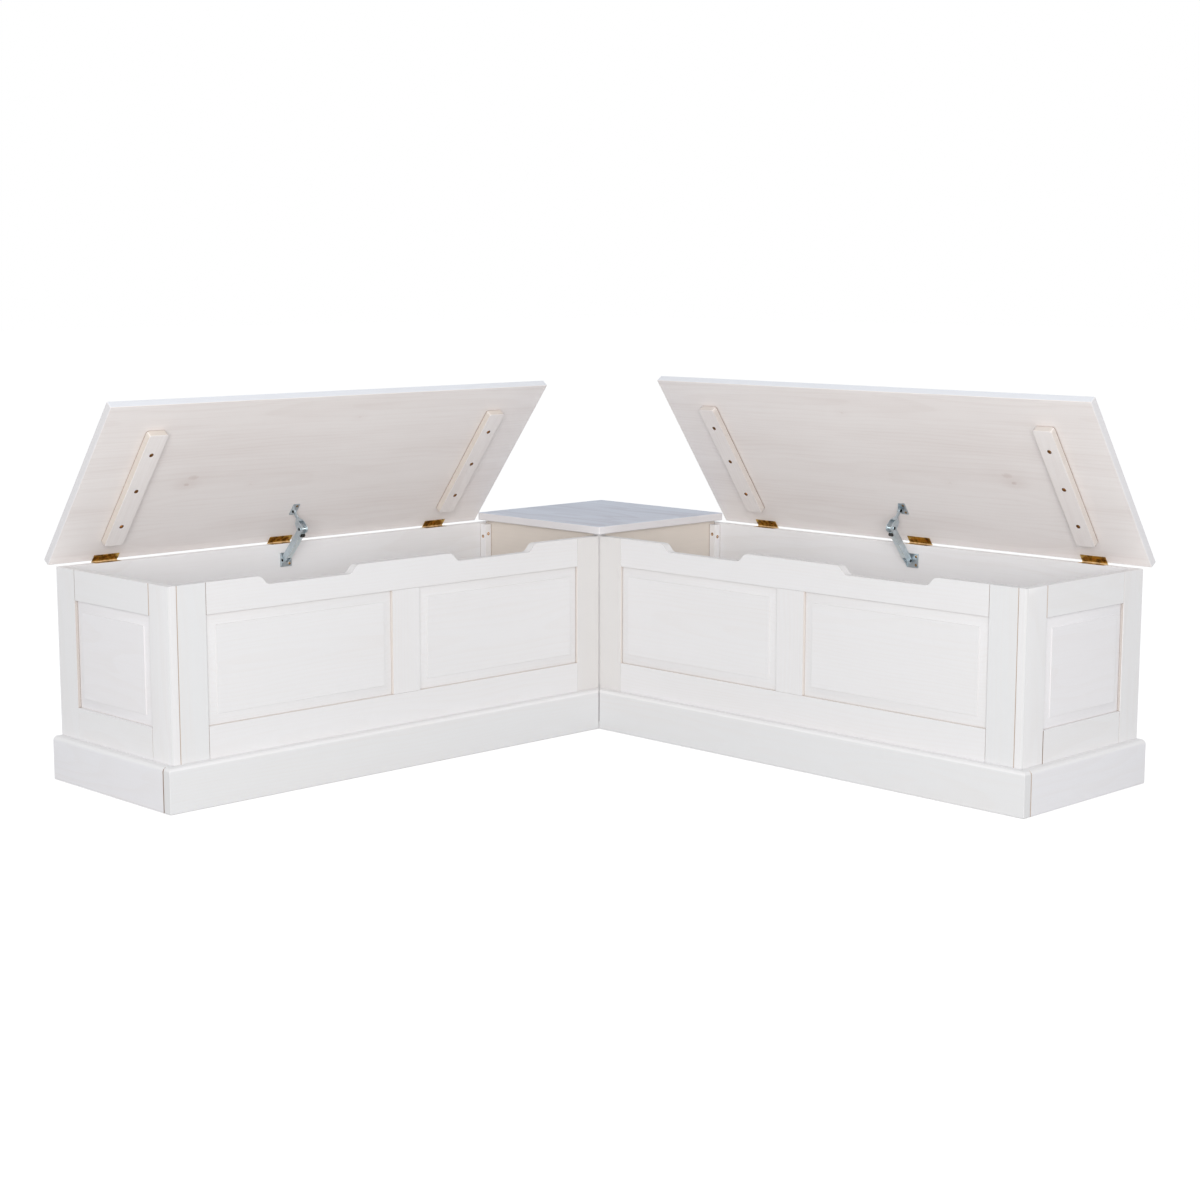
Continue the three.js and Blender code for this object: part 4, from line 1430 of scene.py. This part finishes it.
@dataclass
class ButtHinges:
    """The three brass butt hinges of one lid."""

    place: WingPlace
    leaf_ease: float = 0.00025
    hole_forward: float = 0.0108
    hole_pitch: float = 0.020
    leaf_gap: float = 0.00015
    head_sink: float = 0.0001
    knuckle_reach: float = 0.0029

    def build(self, fixed_screws: FastenerRow, lid_screws: FastenerRow) -> None:
        """Dresses the leaves and notes where their screws go.

        Args:
            fixed_screws: The row that takes the screws of the fixed leaves.
            lid_screws: The row that takes the screws of the lid leaves.
        """
        shut = replace(self.place, lid_angle=0.0)
        jobs = (
            ("fixed_leaf", "carcass", shut.lid_to_world(), -1, fixed_screws),
            ("lid_leaf", self.place.node("lid"), self.place.lid_to_world(), 1, lid_screws),
        )
        for position in ("inner", "middle", "outer"):
            for leaf, body, to_world, side, screws in jobs:
                node = self.place.node(f"{position}_hinge_{leaf}")
                piece = ease_edges(packed_copy(node), self.leaf_ease)
                to_leaf = to_world.inverted()
                # The knuckle faces take the painted highlight brass.
                for polygon in piece.data.polygons:
                    if (to_leaf @ polygon.center).yz.length < self.knuckle_reach:
                        polygon.material_index = 1
                low, high = bounds_of([to_leaf @ vertex.co for vertex in piece.data.vertices])
                outwards = to_world.to_3x3() @ Vector((0, 0, -side))
                for step in (-1, 0, 1):
                    along = (low.x + high.x) / 2 + step * self.hole_pitch
                    height = side * (self.leaf_gap + self.head_sink)
                    screws.add(to_world @ Vector((along, self.hole_forward, height)), outwards)
                dress(piece, body, (HINGE_BRASS, KNUCKLE_BRASS_HIGHLIGHT), [node])


@dataclass
class LidStay:
    """The folding stay of one lid."""

    place: WingPlace
    metal_ease: float = 0.0003
    hole_pitch: float = 0.019
    wall_hole_aside: float = 0.0162
    lid_hole_aside: float = 0.0077
    plate_face: float = 0.0062
    wall_rivet_ends: tuple[float, float] = (-0.0078, 0.0075)
    lid_rivet_ends: tuple[float, float] = (-0.0033, 0.0030)
    elbow_rivet_ends: tuple[float, float] = (-0.0093, 0.0093)

    def build(self, rows: dict[str, FastenerRow]) -> None:
        """Dresses the stay and notes where its screws and rivet heads go.

        Args:
            rows: The fastener rows by name.
        """
        place = self.place
        jobs = (
            ("stay_wall_bracket", "carcass", Slot.ZINC, (STAY_ZINC,)),
            ("stay_lid_bracket", place.node("lid"), Slot.ZINC, (STAY_ZINC,)),
            ("stay_lower_arm", place.node("stay_lower"), Slot.ZINC, (STAY_ZINC, ZINC_HIGHLIGHT)),
            ("stay_upper_arm", place.node("stay_upper"), Slot.ZINC, (STAY_ZINC,)),
            ("stay_stop", place.node("stay_lower"), Slot.RUBBER, (STOP_BLACK,)),
        )
        for part, body, slot, finishes in jobs:
            piece = ease_edges(packed_copy(place.node(part)), self.metal_ease)
            # The lower arm's forward faces take the painted highlight zinc.
            if ZINC_HIGHLIGHT in finishes:
                to_wing = place.to_wing()
                paint_faces(piece, to_wing, 1, lambda way: way.y < -LEANING and abs(way.x) < HALF)
            dress(piece, body, finishes, [place.node(part)])
        handed = 1.0 if place.side is Side.RIGHT else -1.0
        to_world, lid_to_world = place.to_world(), place.lid_to_world()
        pivot, pin = self.wall_pivot(), self.lid_pin()
        elbow = place.to_wing() @ place.joint("stay_elbow")
        for step in (-1, 1):
            rise = step * self.hole_pitch / 2
            spot = pivot + Vector((handed * self.wall_hole_aside, self.plate_face, rise))
            facing = to_world.to_3x3() @ Vector((0, -1, 0))
            rows["wall_plate_screws"].add(to_world @ spot, facing)
            spot = pin + Vector((handed * self.lid_hole_aside, rise, self.plate_face))
            facing = lid_to_world.to_3x3() @ Vector((0, 0, -1))
            rows[place.node("lid_plate_screws")].add(lid_to_world @ spot, facing)
        rivets = (
            ("wall_rivets", to_world, pivot, self.wall_rivet_ends),
            (place.node("lid_rivets"), lid_to_world, pin, self.lid_rivet_ends),
            (place.node("elbow_rivets"), to_world, elbow, self.elbow_rivet_ends),
        )
        for name, matrix, middle, ends in rivets:
            for end in ends:
                spot = middle + Vector((handed * end, 0, 0))
                facing = Vector((handed * math.copysign(1, end), 0, 0))
                rows[name].add(matrix @ spot, matrix.to_3x3() @ facing)

    def wall_pivot(self) -> Vector:
        """Finds the wall pivot in wing lengths, from the record's joints."""
        return self.place.to_wing() @ self.place.joint("stay_wall_pivot")

    def lid_pin(self) -> Vector:
        """Finds the lid pin in lid lengths: the arms and the hinge make a parallelogram.

        Returns:
            The pin.
        """
        arm = self.place.joint("stay_elbow") - self.place.joint("stay_wall_pivot")
        pin = self.place.lid_to_world().inverted() @ (self.place.joint("lid_hinge") + arm)
        return Vector((self.wall_pivot().x, pin.y, pin.z))


@dataclass
class Cleats:
    """The brass screws that hold the upright cleat in the back corner of one wing."""

    place: WingPlace
    front_height: float = 0.412
    side_height: float = 0.406

    def build(self, screws: FastenerRow) -> None:
        """Notes the screws of the cleat, one on each face that shows.

        Args:
            screws: The row that takes them.
        """
        low, high = self.place.box("corner_cleat")
        middle = (low + high) / 2
        jobs = (
            (Vector((middle.x, low.y, self.front_height)), Vector((0, -1, 0))),
            (Vector((high.x, middle.y, self.side_height)), Vector((1, 0, 0))),
        )
        to_world = self.place.to_world()
        for spot, facing in jobs:
            screws.add(to_world @ spot, to_world.to_3x3() @ facing)


@dataclass
class Studio:
    """The floor, the soft light and the camera, whose camera numbers were found by a fit."""

    corner: Vector
    aside: float = -0.0521951
    above: float = 0.0717042
    distance: float = 4.9714092
    yaw: float = 46.0485
    pitch: float = 8.63
    roll: float = -0.0204
    focal_pixels: float = 2184.6445
    centre_pixel: float = 576.2829
    image_pixels: float = 1200.0
    sensor: float = 36.0
    target_height: float = 0.219
    sight: tuple[float, float] = (0.05, 200.0)
    floor_size: float = 60.0
    floor_drop: float = 0.0006
    floor_grey: float = 0.70
    floor_glow: float = 0.6
    room_tint: Colour = (0.965, 0.985, 1.0)
    room_strength: float = 0.63
    lamp_spot: tuple[float, float, float] = (4.2, -4.2, 1.6)
    lamp_aim: tuple[float, float, float] = (0.0, 0.0, 0.3)
    lamp_size: float = 3.0
    lamp_power: float = 217.0
    lamp_tint: Colour = (1.0, 0.992, 0.98)

    def build(self) -> None:
        """Makes the floor, the room's light, the lamp and the camera."""
        self.floor()
        self.room()
        self.lamp()
        self.camera()

    def floor(self) -> None:
        """Lays a pale floor that keeps the bench's shadow and looks brighter to the camera."""
        half, level = self.floor_size / 2, -self.floor_drop
        mesh = bpy.data.meshes.new("pale_floor")
        spots = [(half * x, half * y, level) for x, y in ((-1, -1), (1, -1), (1, 1), (-1, 1))]
        mesh.from_pydata(spots, [], [(0, 1, 2, 3)])
        plane = linked("pale_floor", mesh)
        material = bpy.data.materials.new("pale_floor")
        material.use_nodes = True
        desk = NodeDesk(material.node_tree)
        grey = (self.floor_grey, self.floor_grey, self.floor_grey, 1.0)
        matt = desk.out("ShaderNodeBsdfDiffuse", {"Color": grey})
        light = {"Color": (1.0, 1.0, 1.0, 1.0), "Strength": self.floor_glow}
        glow = desk.out("ShaderNodeEmission", light)
        seen = desk.out("ShaderNodeAddShader", {0: matt, 1: glow})
        to_camera = desk.out("ShaderNodeLightPath", None, "Is Camera Ray")
        surface = desk.out("ShaderNodeMixShader", {0: to_camera, 1: matt, 2: seen})
        desk.add("ShaderNodeOutputMaterial", {"Surface": surface})
        mesh.materials.append(material)

    def room(self) -> None:
        """Lights the bench softly from all round, and shows white to the camera and to gloss."""
        world = bpy.data.worlds.new("soft_room")
        bpy.context.scene.world = world
        world.use_nodes = True
        desk = NodeDesk(world.node_tree)
        light = {"Color": (*self.room_tint, 1.0), "Strength": self.room_strength}
        white = {"Color": (1.0, 1.0, 1.0, 1.0), "Strength": 1.0}
        soft, bright = (desk.out("ShaderNodeBackground", look) for look in (light, white))
        rays = desk.terms(desk.add("ShaderNodeLightPath"))
        seen = desk.calc("MAXIMUM", rays["Is Camera Ray"], rays["Is Glossy Ray"])
        seen = desk.calc("MAXIMUM", seen, rays["Is Transmission Ray"])
        surface = desk.out("ShaderNodeMixShader", {0: seen, 1: soft, 2: bright})
        desk.add("ShaderNodeOutputWorld", {"Surface": surface})

    def lamp(self) -> None:
        """Hangs the soft box that gives the bench its shape."""
        light = bpy.data.lights.new("front_softbox", "AREA")
        light.shape = "SQUARE"
        light.size = self.lamp_size
        light.energy = self.lamp_power
        light.color = self.lamp_tint
        holder = linked("front_softbox", light)
        holder.location = self.lamp_spot
        aim = Vector(self.lamp_aim) - Vector(self.lamp_spot)
        holder.rotation_euler = aim.to_track_quat("-Z", "Y").to_euler()

    def camera(self) -> None:
        """Stands the camera where the photograph was taken from."""
        yaw, pitch, roll = (math.radians(value) for value in (self.yaw, self.pitch, self.roll))
        flat = math.cos(pitch)
        ahead = Vector((-math.sin(yaw) * flat, math.cos(yaw) * flat, -math.sin(pitch)))
        level = Vector((math.cos(yaw), math.sin(yaw), 0.0))
        up = level.cross(ahead)
        right = level * math.cos(roll) + up * math.sin(roll)
        over = up * math.cos(roll) - level * math.sin(roll)
        target = self.corner + Vector((0.0, 0.0, self.target_height))
        data = bpy.data.cameras.new("photograph_view")
        data.sensor_fit = "HORIZONTAL"
        data.sensor_width = self.sensor
        data.lens = self.focal_pixels / self.image_pixels * self.sensor
        data.shift_x = (self.image_pixels / 2 - self.centre_pixel) / self.image_pixels
        data.clip_start, data.clip_end = self.sight
        camera = linked("photograph_view", data)
        turn = Matrix((right, over, -ahead)).transposed().to_4x4()
        spot = target + level * self.aside + up * self.above - ahead * self.distance
        camera.matrix_world = Matrix.Translation(spot) @ turn
        bpy.context.scene.camera = camera


def wing_places(frame: dict, corner: Vector) -> list[WingPlace]:
    """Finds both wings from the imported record.

    Args:
        corner: The inner corner of the two fronts on the floor.

    Returns:
        The left and the right wing.
    """
    joints = {joint["name"]: joint for joint in frame["joints"]}
    spots = {name: Vector(joint["pos_m"]) for name, joint in joints.items()}
    places = []
    for side in Side:
        hinge = joints[f"{side.value}_lid_hinge"]
        offset = Vector(hinge["pos_m"]) - corner
        depth = offset.y if side is Side.RIGHT else -offset.x
        angle = math.radians(-hinge["range_deg"][0])
        places.append(WingPlace(side, corner, angle, depth, offset.z, spots))
    return places


def build_wing(place: WingPlace, yard: Timberyard, rows: dict[str, FastenerRow]) -> None:
    """Dresses one wing with its lid, hinges and stay.

    Args:
        place: The wing's frame.
        yard: Where its boards come from.
        rows: The fastener rows by name.
    """
    PanelledFront(place, yard).build()
    ChestEnd(place, yard).build()
    ChestShell(place, yard).build()
    Cleats(place).build(rows["cleat_screws"])
    LidBoard(place, yard).build(rows[place.node("batten_screws")])
    ButtHinges(place).build(rows["fixed_leaf_screws"], rows[place.node("lid_leaf_screws")])
    LidStay(place).build(rows)


def fastener_rows() -> dict[str, FastenerRow]:
    """Makes an empty row for each kind of fastener on each body, by name.

    Returns:
        The rows.
    """
    jobs = [
        ("cleat_screws", "carcass", CLEAT_SCREW),
        ("fixed_leaf_screws", "carcass", LEAF_SCREW),
        ("wall_plate_screws", "carcass", PLATE_SCREW),
        ("wall_rivets", "carcass", RIVET),
    ]
    for side in Side:
        for name, body, kind in (
            ("batten_screws", "lid", BATTEN_SCREW),
            ("lid_leaf_screws", "lid", LEAF_SCREW),
            ("lid_plate_screws", "lid", PLATE_SCREW),
            ("lid_rivets", "lid", RIVET),
            ("elbow_rivets", "stay_lower", RIVET),
        ):
            jobs.append((f"{side.value}_{name}", f"{side.value}_{body}", kind))
    return {name: FastenerRow(name, body, kind) for name, body, kind in jobs}


def main() -> None:
    """Builds the looks of the bench and its studio."""
    logging.basicConfig(level=logging.INFO, format="%(message)s")
    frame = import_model()
    low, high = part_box("corner_post")
    corner = Vector((high.x, low.y, 0.0))
    yard = Timberyard()
    rows = fastener_rows()
    places = wing_places(frame, corner)
    for place in places:
        build_wing(place, yard, rows)
    SquareCorner(places[-1], yard).build()
    for row in rows.values():
        row.build()
    Studio(corner).build()
    bpy.context.scene.view_settings.view_transform = "Standard"
    bpy.context.view_layer.update()


if __name__ == "__main__":
    main()
